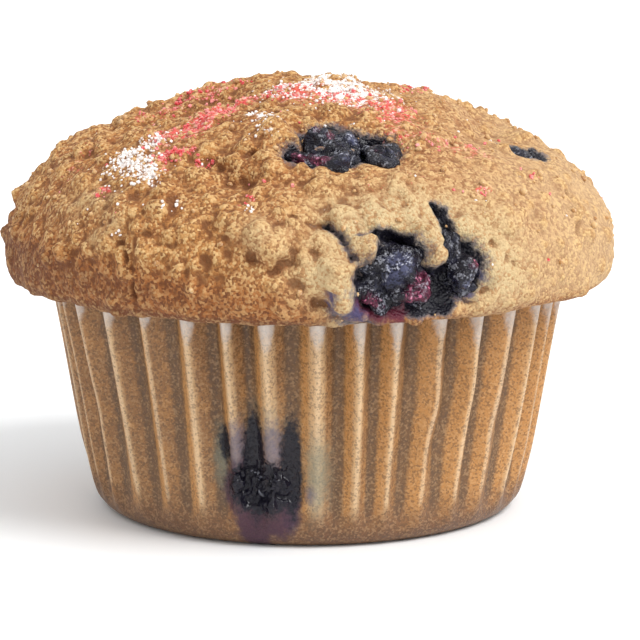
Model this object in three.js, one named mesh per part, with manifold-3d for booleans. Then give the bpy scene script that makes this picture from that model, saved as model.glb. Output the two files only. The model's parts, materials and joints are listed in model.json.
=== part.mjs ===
// A blueberry muffin in a fluted paper liner, in millimetres, +Z up.
// The origin is the centre of the liner's base, on the surface that the muffin stands on, and -Y is its front.
// The cake is one baked piece. The liner, each berry and each clump of sugar is a piece of its own.
import * as THREE from "three";
import { mergeVertices } from "three/addons/utils/BufferGeometryUtils.js";
import Module from "manifold-3d";

const wasm = await Module();
wasm.setup();

// The paper liner: a pressed cup with pleats that deepen from its foot to its mouth.
const BASE_RADIUS = 26; // where the wall's line would meet the floor, halfway up the pleats
const MOUTH_RADIUS = 30.7; // at the mouth, halfway up the pleats
const WALL_HEIGHT = 28.6;
const FOOT_ROUND = 1.8; // radius of the bend from base to wall
const FLUTES = 36;
const FLUTE_DEPTH = 2.1; // crest to valley at the mouth
const FOOT_FLUTE_DEPTH = 0.5; // crest to valley just above the foot bend
const PAPER = 0.35; // wall, measured along the radius
const PAPER_GAP = 0.4; // between paper and cake, measured along the radius

// The cap: a lip that rolls over the liner's mouth, and a low crown above it.
const CAP_RADIUS = 37.5;
const LIP_ROLL = 3.4; // how far the lip's widest line stands out from its lowest line
const LIP_DROP = 5.1; // from the widest line down to the lowest
const LIP_OVERLAP = 0.7; // how far the lowest line hangs below the liner's mouth
const CROWN_RISE = 19.4; // from the widest line up to the top
const CROWN_POWER = 1.9; // 2 is an ellipse, less is more pointed

// What is baked in or stuck on.
const SEAT_GAP = 0.3; // round each berry and each clump
const WALL_BERRY_GAP = 0.05; // how much further than the cake's own skin a wall berry stays from the paper

// How finely the surfaces are divided.
const POINTS_PER_FLUTE = 4;
const WALL_COLUMNS = FLUTES * POINTS_PER_FLUTE;
const WALL_ROWS = 4;
const FOOT_ROWS = 2;
const CAP_COLUMNS = 72;
const LIP_ROWS = 4;
const CROWN_ROWS = 12;
const BERRY_COLUMNS = 12;
const BERRY_ROWS = 8;

const WIDEST_Z = WALL_HEIGHT - LIP_OVERLAP + LIP_DROP;

// Low swellings and hollows of the crown. azimuth is in degrees from the front, positive towards +X; climb
// runs from 0 at the widest line to 1 at the top; rise is in mm, negative for a hollow; spread is its reach.
const SWELLS = [
  { azimuth: 78, climb: 0.41, rise: 1.1, spread: 4.5 },
  { azimuth: 84, climb: 0.52, rise: -1.3, spread: 4 },
  { azimuth: 80, climb: 0.66, rise: 1.0, spread: 6 },
  { azimuth: -85, climb: 0.68, rise: -1.0, spread: 7 },
  { azimuth: -92, climb: 0.45, rise: 0.9, spread: 8 },
  { azimuth: -38, climb: 0.3, rise: 0.9, spread: 7 },
  { azimuth: -22, climb: 0.43, rise: -1.1, spread: 4 },
  { azimuth: -16, climb: 0.6, rise: 0.9, spread: 5 },
  { azimuth: -8, climb: 0.2, rise: 1.0, spread: 5 },
  { azimuth: 5, climb: 0.26, rise: -0.9, spread: 3.5 },
  { azimuth: 45, climb: 0.3, rise: 0.7, spread: 8 },
  { azimuth: 10, climb: 0.92, rise: 0.6, spread: 6 },
  { azimuth: 132, climb: 0.3, rise: 1.1, spread: 9 },
  { azimuth: 160, climb: 0.62, rise: -1.0, spread: 6 },
  { azimuth: -140, climb: 0.35, rise: 1.2, spread: 8 },
  { azimuth: -165, climb: 0.72, rise: 0.9, spread: 7 },
];

// Berries that break through the crown or the lip. radii are along the rim, up the slope and into the cake;
// sink is how far the middle lies under the crown's surface; turn swings the berry about the surface normal.
const CROWN_BERRIES = [
  { name: "crown_berry_large", azimuth: 5, climb: 0.548, radii: [5.2, 5.4, 3.8], sink: 2.6, turn: 0 },
  { name: "crown_berry_small", azimuth: 22, climb: 0.53, radii: [2.9, 3.6, 2.8], sink: 1.8, turn: 10 },
  { name: "lip_berry_large", azimuth: 17, climb: 0.06, radii: [6.3, 5.2, 4.4], sink: 3.1, turn: -12 },
  { name: "lip_berry_small", azimuth: 29, climb: 0.09, radii: [2.8, 4.6, 3.2], sink: 2.1, turn: 8 },
  { name: "shoulder_berry", azimuth: 71, climb: 0.43, radii: [2.8, 3.3, 3.2], sink: 2.3, turn: 20 },
  { name: "back_crown_berry", azimuth: -158, climb: 0.5, radii: [5.2, 4.6, 3.8], sink: 2.5, turn: 15 },
  { name: "back_lip_berry", azimuth: 146, climb: 0.18, radii: [4.9, 5.2, 4.0], sink: 2.6, turn: 30 },
];

// Berries baked against the liner, seen through the paper. height is a share of the wall's height.
const WALL_BERRIES = [
  { name: "wall_berry_front", azimuth: -10.5, height: 0.32, radii: [5.2, 6.2, 4.6], sink: 2.2 },
  { name: "wall_berry_right", azimuth: 118, height: 0.36, radii: [4.8, 5.0, 4.4], sink: 2.3 },
  { name: "wall_berry_left", azimuth: -128, height: 0.56, radii: [5.1, 4.5, 4.5], sink: 2.3 },
];

// Clumps of coarse sugar stuck to the crown, with the same values as the crown's berries.
const SUGAR_CLUMPS = [
  { name: "white_sugar_clump_1", azimuth: -45, climb: 0.435, radii: [3.5, 2.0, 0.8], sink: 0.1, turn: -12 },
  { name: "white_sugar_clump_2", azimuth: -49, climb: 0.54, radii: [1.6, 1.5, 0.7], sink: 0.1, turn: 0 },
  { name: "white_sugar_clump_3", azimuth: 12, climb: 0.915, radii: [4.4, 2.2, 0.8], sink: 0.1, turn: 0 },
  { name: "white_sugar_clump_4", azimuth: 165, climb: 0.8, radii: [3.0, 2.2, 0.8], sink: 0.1, turn: 40 },
  { name: "red_sugar_clump_1", azimuth: -38, climb: 0.515, radii: [2.5, 0.9, 0.7], sink: 0.1, turn: 30 },
  { name: "red_sugar_clump_2", azimuth: -46, climb: 0.68, radii: [2.6, 1.3, 0.7], sink: 0.1, turn: 35 },
  { name: "red_sugar_clump_3", azimuth: -44, climb: 0.81, radii: [2.4, 1.4, 0.7], sink: 0.1, turn: 30 },
  { name: "red_sugar_clump_4", azimuth: 43, climb: 0.74, radii: [1.5, 2.4, 0.7], sink: 0.1, turn: 10 },
  { name: "red_sugar_clump_5", azimuth: -120, climb: 0.7, radii: [2.4, 1.5, 0.7], sink: 0.1, turn: 60 },
];

const COLOURS = {
  crumb: { color: 0xb9803f, roughness: 0.9 },
  paper: { color: 0xa98560, roughness: 0.55 },
  berry: { color: 0x201a2c, roughness: 0.4 },
  whiteSugar: { color: 0xf1ebe6, roughness: 0.5 },
  redSugar: { color: 0xcf4048, roughness: 0.5 },
};

function material({ color, roughness }) {
  return new THREE.MeshStandardMaterial({ color, roughness, metalness: 0 });
}

function smooth(t) {
  const s = THREE.MathUtils.clamp(t, 0, 1);
  return s * s * (3 - 2 * s);
}

// Azimuth in radians, 0 at the front (-Y) and positive towards +X, as a horizontal direction.
function outward(azimuth) {
  return new THREE.Vector3(Math.sin(azimuth), -Math.cos(azimuth), 0);
}

// A closed solid turned from a profile of [radius, height] that starts and ends on the axis, with each
// point then moved by reshape(radius, height, azimuth, index), which returns a new [radius, height].
function turned(profile, columns, reshape) {
  const points = profile.map(([radius, height]) => new THREE.Vector2(radius, height));
  const geometry = new THREE.LatheGeometry(points, columns);
  const position = geometry.getAttribute("position");
  for (let column = 0; column <= columns; column++) {
    const azimuth = (2 * Math.PI * (column % columns)) / columns;
    profile.forEach(([radius, height], row) => {
      const [r, z] = radius === 0 ? [0, height] : reshape(radius, height, azimuth, row);
      const at = outward(azimuth).multiplyScalar(r);
      position.setXYZ(column * profile.length + row, at.x, at.y, z);
    });
  }
  return solid(geometry);
}

// A three.js geometry as a manifold-3d solid.
function solid(geometry) {
  const bare = new THREE.BufferGeometry().setAttribute("position", geometry.getAttribute("position"));
  bare.setIndex(geometry.index);
  const merged = mergeVertices(bare, 1e-4);
  const mesh = new wasm.Mesh({
    numProp: 3,
    vertProperties: new Float32Array(merged.getAttribute("position").array),
    triVerts: new Uint32Array(merged.index.array),
  });
  return new wasm.Manifold(mesh);
}

// A manifold-3d solid as a named three.js mesh.
function piece(name, shape, look) {
  const { numProp, vertProperties, triVerts } = shape.getMesh();
  const count = vertProperties.length / numProp;
  const xyz = new Float32Array(count * 3);
  for (let i = 0; i < count; i++) {
    xyz.set(vertProperties.subarray(i * numProp, i * numProp + 3), i * 3);
  }
  const geometry = new THREE.BufferGeometry().setAttribute("position", new THREE.BufferAttribute(xyz, 3));
  geometry.setIndex(new THREE.BufferAttribute(new Uint32Array(triVerts), 1));
  geometry.computeVertexNormals();
  const mesh = new THREE.Mesh(geometry, material(look));
  mesh.name = name;
  return mesh;
}

// The wall halfway up its pleats.
function wallRadius(height) {
  return THREE.MathUtils.lerp(BASE_RADIUS, MOUTH_RADIUS, height / WALL_HEIGHT);
}

// Crest to valley at a height: nothing below the foot bend, then growing to the mouth.
function fluteDepth(height) {
  const above = (height - FOOT_ROUND) / (WALL_HEIGHT - FOOT_ROUND);
  const grown = THREE.MathUtils.lerp(FOOT_FLUTE_DEPTH, FLUTE_DEPTH, Math.sqrt(Math.max(above, 0)));
  return grown * smooth(height / FOOT_ROUND);
}

// How far the pleated wall stands out from the wall's middle line. A crest faces straight forward.
function flute(height, azimuth) {
  return 0.5 * fluteDepth(height) * Math.cos(FLUTES * azimuth);
}

// The cup's outline from the axis to its mouth, moved in by inset along the radius and up by floor.
function cupProfile(inset, floor, top) {
  const outline = [[0, floor]];
  const bend = Math.max(FOOT_ROUND - floor, 0.2);
  for (let row = 0; row <= FOOT_ROWS; row++) {
    const turn = (0.5 * Math.PI * row) / FOOT_ROWS;
    const height = floor + bend * (1 - Math.cos(turn));
    outline.push([wallRadius(height) - inset - bend * (1 - Math.sin(turn)), height]);
  }
  for (let row = 1; row <= WALL_ROWS; row++) {
    const height = THREE.MathUtils.lerp(floor + bend, top, row / WALL_ROWS);
    outline.push([wallRadius(height) - inset, height]);
  }
  return outline;
}

function linerSolid() {
  const outside = cupProfile(0, 0, WALL_HEIGHT);
  const inside = cupProfile(PAPER, PAPER, WALL_HEIGHT).reverse();
  return turned([...outside, ...inside], WALL_COLUMNS, (r, z, azimuth) => [r + flute(z, azimuth), z]);
}

// A point of the crown's smooth outline, climb running from 0 at the widest line to 1 at the top.
function crownOutline(climb) {
  const angle = climb * 0.5 * Math.PI;
  return [
    CAP_RADIUS * Math.cos(angle) ** (2 / CROWN_POWER),
    WIDEST_Z + CROWN_RISE * Math.sin(angle) ** (2 / CROWN_POWER),
  ];
}

// The smooth crown's surface: a point of it and the outward normal there.
function crownPoint(azimuth, climb) {
  const step = 0.004;
  const [r, z] = crownOutline(climb);
  const [rLow, zLow] = crownOutline(Math.max(climb - step, 0));
  const [rHigh, zHigh] = crownOutline(Math.min(climb + step, 1));
  const rise = new THREE.Vector2(rHigh - rLow, zHigh - zLow).normalize();
  const at = outward(azimuth).multiplyScalar(r).setZ(z);
  const normal = outward(azimuth).multiplyScalar(rise.y).setZ(-rise.x);
  return { at, normal };
}

const SWELL_POINTS = SWELLS.map(({ azimuth, climb, rise, spread }) => ({
  at: crownPoint(THREE.MathUtils.degToRad(azimuth), climb).at,
  rise,
  spread,
}));

// How far the crown swells out at a point, in mm along its normal.
function swell(at) {
  return SWELL_POINTS.reduce(
    (sum, bump) => sum + bump.rise * Math.exp(-at.distanceToSquared(bump.at) / bump.spread ** 2),
    0,
  );
}

// The height of the cake's ledge over the liner's mouth.
const LEDGE_Z = WALL_HEIGHT + PAPER_GAP;

// The underside of the lip, from the ledge over the liner's mouth to just below the widest line.
function lipOutline() {
  const ledgeEnd = MOUTH_RADIUS + 0.5 * FLUTE_DEPTH + PAPER_GAP;
  const lowestRadius = Math.max(CAP_RADIUS - LIP_ROLL, ledgeEnd + PAPER_GAP);
  const outline = [[ledgeEnd, LEDGE_Z]];
  for (let row = 0; row < LIP_ROWS; row++) {
    const turn = (0.5 * Math.PI * row) / LIP_ROWS;
    outline.push([
      THREE.MathUtils.lerp(lowestRadius, CAP_RADIUS, Math.sin(turn)),
      WIDEST_Z - LIP_DROP * Math.cos(turn),
    ]);
  }
  return outline;
}

// The pleated part of the cake, which fills the liner. It ends inside the cap.
function plugSolid(extraInset) {
  const outline = cupProfile(PAPER + PAPER_GAP + extraInset, PAPER + PAPER_GAP, LEDGE_Z + 1);
  return turned([...outline, [0, LEDGE_Z + 1]], WALL_COLUMNS, (r, z, azimuth) => [
    r + flute(Math.min(z, WALL_HEIGHT), azimuth),
    z,
  ]);
}

// The part of the cake that rose over the liner's mouth.
function capSolid() {
  const crownStart = 1 + lipOutline().length;
  const outline = [[0, LEDGE_Z], ...lipOutline()];
  for (let row = 0; row < CROWN_ROWS; row++) {
    outline.push(crownOutline(row / CROWN_ROWS));
  }
  outline.push([0, WIDEST_Z + CROWN_RISE]);
  return turned(outline, CAP_COLUMNS, (r, z, azimuth, row) => {
    if (row < crownStart) return [r, z];
    const climb = (row - crownStart) / CROWN_ROWS;
    const { at, normal } = crownPoint(azimuth, climb);
    const out = swell(at) * smooth(climb * 4);
    return [r + out * Math.hypot(normal.x, normal.y), z + out * normal.z];
  });
}

// The whole cake before anything is seated in it.
function cakeEnvelope(extraInset = 0) {
  return plugSolid(extraInset).add(capSolid());
}

// The frame of something that sits in the surface: its x along the rim, its y up the slope, its z out.
function seatFrame({ at, normal }, azimuth, sink, turn) {
  const along = new THREE.Vector3(Math.cos(azimuth), Math.sin(azimuth), 0);
  const up = new THREE.Vector3().crossVectors(normal, along);
  const frame = new THREE.Matrix4().makeBasis(along, up, normal);
  frame.setPosition(at.clone().addScaledVector(normal, -sink));
  return frame.multiply(new THREE.Matrix4().makeRotationZ(turn));
}

// A round body with soft dents, as a baked berry has, larger by grow all round.
function berrySolid(frame, radii, grow) {
  const ball = new THREE.SphereGeometry(1, BERRY_COLUMNS, BERRY_ROWS);
  const position = ball.getAttribute("position");
  const [wide, tall, deep] = radii.map((radius) => radius + grow);
  for (let i = 0; i < position.count; i++) {
    const v = new THREE.Vector3().fromBufferAttribute(position, i);
    const dent = 1 + 0.05 * Math.sin(4 * v.x + 1) * Math.cos(3 * v.y) - 0.04 * Math.cos(5 * v.z);
    position.setXYZ(i, v.x * wide * dent, v.y * tall * dent, v.z * deep * dent);
  }
  return solid(ball.applyMatrix4(frame));
}

// A low knobbly lump of grains, larger by grow all round.
function clumpSolid(frame, radii, grow) {
  const lump = new THREE.IcosahedronGeometry(1, 1);
  lump.scale(...radii.map((radius) => radius + grow));
  return solid(lump.applyMatrix4(frame));
}

// The frames of everything that is seated in the cake.
function crownFrame({ azimuth, climb, sink, turn }) {
  const angle = THREE.MathUtils.degToRad(azimuth);
  const surface = crownPoint(angle, climb);
  surface.at.addScaledVector(surface.normal, swell(surface.at));
  return seatFrame(surface, angle, sink, THREE.MathUtils.degToRad(turn));
}

function wallFrame({ azimuth, height, sink }) {
  const angle = THREE.MathUtils.degToRad(azimuth);
  const z = height * WALL_HEIGHT;
  const at = outward(angle).multiplyScalar(wallRadius(z)).setZ(z);
  return seatFrame({ at, normal: outward(angle) }, angle, sink, 0);
}

const muffin = new THREE.Group();
const berrySkin = cakeEnvelope(WALL_BERRY_GAP);
let cake = cakeEnvelope();
const seated = [];

// Adds one seated body to the muffin: it keeps its gap to the cake, and yields to what is seated already.
function seat(name, look, grownBy, skin) {
  let shape = skin ? grownBy(0).intersect(skin) : grownBy(0);
  for (const earlier of seated) shape = shape.subtract(earlier);
  const room = grownBy(SEAT_GAP);
  cake = cake.subtract(room);
  seated.push(room);
  muffin.add(piece(name, shape, look));
}

for (const berry of WALL_BERRIES) {
  const frame = wallFrame(berry);
  seat(berry.name, COLOURS.berry, (grow) => berrySolid(frame, berry.radii, grow), berrySkin);
}

for (const berry of CROWN_BERRIES) {
  const frame = crownFrame(berry);
  seat(berry.name, COLOURS.berry, (grow) => berrySolid(frame, berry.radii, grow));
}

for (const clump of SUGAR_CLUMPS) {
  const frame = crownFrame(clump);
  const look = clump.name.startsWith("white") ? COLOURS.whiteSugar : COLOURS.redSugar;
  seat(clump.name, look, (grow) => clumpSolid(frame, clump.radii, grow));
}

muffin.add(piece("muffin_cake", cake, COLOURS.crumb));
muffin.add(piece("paper_liner", linerSolid(), COLOURS.paper));

export default muffin;
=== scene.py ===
"""A blueberry muffin in a pleated paper liner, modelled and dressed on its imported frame.

Lengths are in metres unless a name ends in _mm. +Z is up, the origin is the middle of the liner's base and
-Y is the front. A place on the cap is a Spot: its azimuth is in degrees from the front, positive towards
+X, and its elevation is in degrees as seen from the middle of the liner's mouth.
"""

import json
import logging
import math
from dataclasses import dataclass, field
from enum import Enum

import bpy
import numpy as np
from mathutils import Matrix, Vector, noise
from mathutils.bvhtree import BVHTree

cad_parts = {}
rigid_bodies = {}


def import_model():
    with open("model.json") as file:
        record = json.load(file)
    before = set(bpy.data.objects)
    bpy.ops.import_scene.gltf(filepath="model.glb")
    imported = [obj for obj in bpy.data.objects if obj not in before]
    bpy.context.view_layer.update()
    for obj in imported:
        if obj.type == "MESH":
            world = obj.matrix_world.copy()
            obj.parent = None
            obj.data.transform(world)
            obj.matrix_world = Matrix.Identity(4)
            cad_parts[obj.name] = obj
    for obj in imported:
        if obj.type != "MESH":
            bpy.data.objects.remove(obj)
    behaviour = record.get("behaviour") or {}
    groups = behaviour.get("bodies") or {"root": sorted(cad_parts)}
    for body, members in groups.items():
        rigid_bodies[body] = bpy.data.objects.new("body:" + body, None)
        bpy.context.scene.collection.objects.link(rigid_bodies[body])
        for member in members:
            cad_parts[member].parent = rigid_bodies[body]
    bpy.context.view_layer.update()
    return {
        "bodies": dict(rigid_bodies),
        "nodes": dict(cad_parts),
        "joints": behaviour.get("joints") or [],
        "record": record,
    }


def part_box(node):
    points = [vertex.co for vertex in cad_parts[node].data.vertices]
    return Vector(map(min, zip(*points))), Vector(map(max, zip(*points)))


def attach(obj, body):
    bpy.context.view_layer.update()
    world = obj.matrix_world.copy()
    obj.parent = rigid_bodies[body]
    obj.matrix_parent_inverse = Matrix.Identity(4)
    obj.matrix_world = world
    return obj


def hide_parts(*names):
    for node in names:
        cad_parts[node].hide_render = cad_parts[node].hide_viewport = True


LOG = logging.getLogger("muffin")
MM = 0.001
ROOT = "root"
RANDOM_TURN = 6.28  # the largest random turn or phase, in radians
WEIGHT_STEPS = 10  # how many steps of weight a vertex group has
TINY = 1e-6  # a length too small to matter

Colour = tuple[float, float, float]


# ---------------------------------------------------------------- small tools


def smoothstep(low: float, high: float, value: np.ndarray) -> np.ndarray:
    """Eases a value from 0 at low to 1 at high.

    Args:
        low: where the result leaves 0.
        high: where the result reaches 1.
        value: the values to ease.

    Returns:
        The eased values, each from 0 to 1.
    """
    share = np.clip((value - low) / (high - low), 0.0, 1.0)
    return share * share * (3.0 - 2.0 * share)


def heading(azimuth: float, elevation: float = 0.0) -> Vector:
    """The unit direction of an azimuth and an elevation.

    Args:
        azimuth: degrees from the front, positive towards +X.
        elevation: degrees above level.

    Returns:
        The direction as a unit vector.
    """
    turn, rise = math.radians(azimuth), math.radians(elevation)
    return Vector((math.cos(rise) * math.sin(turn), -math.cos(rise) * math.cos(turn), math.sin(rise)))


def azimuth_of(place: Vector) -> float:
    """The azimuth of a place seen from the origin, in degrees."""
    return math.degrees(math.atan2(place.x, -place.y))


def azimuths_of(points: np.ndarray) -> np.ndarray:
    """The azimuth of each point seen from the origin, in degrees."""
    return np.degrees(np.arctan2(points[:, 0], -points[:, 1]))


def degrees_past(azimuths: np.ndarray, start: float) -> np.ndarray:
    """How far each azimuth is past another, from -180 to 180 degrees."""
    return (azimuths - start + 180) % 360 - 180


def falloff(reach: np.ndarray, width_mm: float) -> np.ndarray:
    """Fades from 1 to 0 as a reach grows.

    Args:
        reach: distances in metres.
        width_mm: the distance at which about a third is left.

    Returns:
        One share per distance.
    """
    return np.exp(-((reach / (width_mm * MM)) ** 2))


def random_turn(random: np.random.Generator) -> Matrix:
    """A turn by a random angle about a random axis."""
    angle = random.uniform(0, RANDOM_TURN)
    return Matrix.Rotation(angle, 4, Vector(random.uniform(-1, 1, 3)).normalized())


def select_only(obj: bpy.types.Object) -> None:
    """Makes one object the only selected and active one."""
    bpy.ops.object.select_all(action="DESELECT")
    obj.select_set(True)
    bpy.context.view_layer.objects.active = obj


def smooth_shading(obj: bpy.types.Object) -> None:
    """Shades a piece smoothly."""
    select_only(obj)
    bpy.ops.object.shade_smooth()


def newest(name: str) -> bpy.types.Object:
    """Names the object that was just added, and returns it.

    Args:
        name: the piece's name.

    Returns:
        The active object.
    """
    obj = bpy.context.object
    obj.name = name
    obj.data.name = name
    return obj


def modify(obj: bpy.types.Object, kind: str, **settings: object) -> None:
    """Adds one modifier to a piece and applies it.

    Args:
        obj: the piece.
        kind: the modifier's type.
        **settings: the modifier's properties.
    """
    select_only(obj)
    modifier = obj.modifiers.new(kind.title(), kind)
    for name, value in settings.items():
        setattr(modifier, name, value)
    bpy.ops.object.modifier_apply(modifier=modifier.name)


def points_of(obj: bpy.types.Object) -> np.ndarray:
    """The vertices of a mesh as rows of x, y and z.

    Args:
        obj: the piece.

    Returns:
        An array of one row per vertex.
    """
    flat = np.empty(len(obj.data.vertices) * 3)
    obj.data.vertices.foreach_get("co", flat)
    return flat.reshape(-1, 3)


def move_points(obj: bpy.types.Object, points: np.ndarray) -> None:
    """Puts the vertices of a mesh at new places.

    Args:
        obj: the piece.
        points: one row of x, y and z per vertex.
    """
    obj.data.vertices.foreach_set("co", points.ravel())
    obj.data.update()


def normals_of(obj: bpy.types.Object) -> np.ndarray:
    """The vertex normals of a mesh.

    Args:
        obj: the piece.

    Returns:
        An array of one row per vertex.
    """
    flat = np.empty(len(obj.data.vertices) * 3)
    obj.data.vertex_normals.foreach_get("vector", flat)
    return flat.reshape(-1, 3)


def paint(obj: bpy.types.Object, name: str, values: np.ndarray) -> None:
    """Stores one number per vertex, for a material to read.

    Args:
        obj: the piece.
        name: the attribute's name.
        values: one number per vertex.
    """
    attribute = obj.data.attributes.get(name) or obj.data.attributes.new(name, "FLOAT", "POINT")
    attribute.data.foreach_set("value", np.asarray(values, dtype=np.float32))


def weigh(obj: bpy.types.Object, name: str, weights: np.ndarray) -> str:
    """Makes a vertex group of a few steps of weight.

    Args:
        obj: the piece.
        name: the group's name.
        weights: one number from 0 to 1 per vertex.

    Returns:
        The group's name.
    """
    group = obj.vertex_groups.new(name=name)
    steps = np.round(np.clip(weights, 0.0, 1.0) * WEIGHT_STEPS).astype(int)
    for step in range(1, WEIGHT_STEPS + 1):
        chosen = np.nonzero(steps == step)[0].tolist()
        if chosen:
            group.add(chosen, step / WEIGHT_STEPS, "REPLACE")
    return name


def roughen(
    obj: bpy.types.Object,
    size_mm: float,
    strength_mm: float,
    group: str = "",
    depth: int = 1,
    creased: bool = False,
) -> None:
    """Pushes a surface in and out by a procedural pattern.

    Args:
        obj: the piece.
        size_mm: the pattern's size.
        strength_mm: the whole range of the push.
        group: the vertex group that limits the push, or nothing.
        depth: how many finer layers the pattern has.
        creased: whether the pattern has sharp folds.
    """
    texture = bpy.data.textures.new(f"{obj.name}_{size_mm}", "CLOUDS")
    texture.noise_scale = size_mm * MM
    texture.noise_depth = depth
    texture.noise_type = "HARD_NOISE" if creased else "SOFT_NOISE"
    modify(
        obj,
        "DISPLACE",
        texture=texture,
        texture_coords="LOCAL",
        strength=strength_mm * MM,
        mid_level=0.5,
        vertex_group=group,
    )


def merged_copy(node: bpy.types.Object, name: str) -> bpy.types.Object:
    """A copy of a CAD node with its loose triangles joined.

    Args:
        node: the CAD node, which is left as it is.
        name: the copy's name.

    Returns:
        The copy.
    """
    copy = bpy.data.objects.new(name, node.data.copy())
    copy.data.materials.clear()
    bpy.context.scene.collection.objects.link(copy)
    select_only(copy)
    bpy.ops.object.mode_set(mode="EDIT")
    bpy.ops.mesh.select_all(action="SELECT")
    bpy.ops.mesh.remove_doubles(threshold=TINY)
    bpy.ops.object.mode_set(mode="OBJECT")
    return copy


def join_into(target: bpy.types.Object, others: list[bpy.types.Object]) -> None:
    """Joins meshes into one object.

    Args:
        target: the object that stays.
        others: the objects that become part of it.
    """
    select_only(target)
    for other in others:
        other.select_set(True)
    bpy.ops.object.join()


def scattered(
    name: str, template: bpy.types.Object, places: list[Matrix], random: np.random.Generator, jitter: float
) -> bpy.types.Object:
    """Copies one small shape to many places, each a little misshapen, as one mesh.

    Args:
        name: the new piece's name.
        template: the shape to copy.
        places: where each copy goes.
        random: the source of the jitter.
        jitter: how far a point strays, as a share of the shape's size.

    Returns:
        The new piece.
    """
    base = points_of(template)
    faces = [tuple(face.vertices) for face in template.data.polygons]
    points, polygons = [], []
    for place in places:
        bent = base * (1.0 + jitter * random.uniform(-1.0, 1.0, (len(base), 1)))
        turned = np.asarray(place.to_3x3())
        start = len(points) * len(base)
        points.append(bent @ turned.T + np.asarray(place.translation))
        polygons.extend(tuple(start + corner for corner in face) for face in faces)
    mesh = bpy.data.meshes.new(name)
    mesh.from_pydata(np.concatenate(points).tolist(), [], polygons)
    mesh.update()
    piece = bpy.data.objects.new(name, mesh)
    bpy.context.scene.collection.objects.link(piece)
    return piece


def settle(
    piece: bpy.types.Object, slot: str, material: bpy.types.Material, replaced: tuple[str, ...] = ()
) -> None:
    """Finishes a piece: dresses it, ties it to the frame and reports it.

    Args:
        piece: the finished piece.
        slot: the record's material slot that it takes its finish from.
        material: its material.
        replaced: the CAD nodes that it stands for.
    """
    piece.data.materials.clear()
    piece.data.materials.append(material)
    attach(piece, ROOT)
    if replaced:
        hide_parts(*replaced)
    faces = len(piece.data.polygons)
    LOG.info("%s: %d faces, slot %s, for %s", piece.name, faces, slot, replaced or "nothing")


# ---------------------------------------------------------------- places on the cap


@dataclass(frozen=True)
class Spot:
    """A place on the cap.

    Attributes:
        azimuth: degrees from the front, positive towards +X.
        elevation: degrees as seen from the middle of the liner's mouth.
    """

    azimuth: float
    elevation: float


class Surface:
    """A surface that can be found from the middle of the liner's mouth.

    Attributes:
        far_out: how far outside the surface a line of sight starts.
    """

    far_out: float = 0.2

    def __init__(self, obj: bpy.types.Object, centre: Vector) -> None:
        """Reads the surface.

        Args:
            obj: the piece whose surface it is.
            centre: where spots are seen from.
        """
        bpy.context.view_layer.update()
        self.tree = BVHTree.FromObject(obj, bpy.context.evaluated_depsgraph_get())
        self.centre = centre

    def at(self, spot: Spot) -> tuple[Vector, Vector]:
        """Finds a spot on the surface.

        Args:
            spot: where to look.

        Returns:
            The outermost point there, and its outward normal.
        """
        out = heading(spot.azimuth, spot.elevation)
        point, normal, _, _ = self.tree.ray_cast(self.centre + out * self.far_out, -out)
        if point is None:
            return self.centre.copy(), out
        return point, normal

    def along(self, spots: tuple[Spot, ...], step_mm: float = 0.4) -> np.ndarray:
        """Points on the surface along a line of spots.

        Args:
            spots: the line's corners.
            step_mm: how far apart the points are.

        Returns:
            One row of x, y and z per point.
        """
        found = []
        for start, end in zip(spots, spots[1:] or spots):
            span = (self.at(end)[0] - self.at(start)[0]).length
            count = max(2, int(span / (step_mm * MM)) + 1)
            for share in np.linspace(0.0, 1.0, count):
                azimuth = start.azimuth + (end.azimuth - start.azimuth) * share
                elevation = start.elevation + (end.elevation - start.elevation) * share
                found.append(self.at(Spot(azimuth, elevation))[0])
        return np.array(found)


def wobbled(points: np.ndarray, size_mm: float, reach_mm: float) -> np.ndarray:
    """Points strayed by a soft noise, so that what is measured from them has an uneven edge.

    Args:
        points: one row per point.
        size_mm: the size of the noise.
        reach_mm: how far it moves a point.

    Returns:
        The strayed points.
    """
    scale = 1.0 / (size_mm * MM)
    stray = [noise.noise_vector(Vector(point) * scale) for point in points]
    return points + np.array(stray) * (reach_mm * MM)


def outward_from(centre: Vector, middle: np.ndarray) -> np.ndarray:
    """The unit direction from a centre to a place.

    Args:
        centre: where it starts.
        middle: where it points to.

    Returns:
        The direction.
    """
    outward = middle - np.asarray(centre)
    return outward / np.linalg.norm(outward)


def distance_to(points: np.ndarray, targets: np.ndarray) -> np.ndarray:
    """How far each point is from the nearest target.

    Args:
        points: one row per point.
        targets: one row per target.

    Returns:
        One distance per point.
    """
    nearest = np.full(len(points), np.inf)
    for target in targets:
        nearest = np.minimum(nearest, np.einsum("ij,ij->i", points - target, points - target))
    return np.sqrt(nearest)


# ---------------------------------------------------------------- materials


RAGGED_EDGE = "ragged_edge"
SPECKLE = "speckle"


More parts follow.
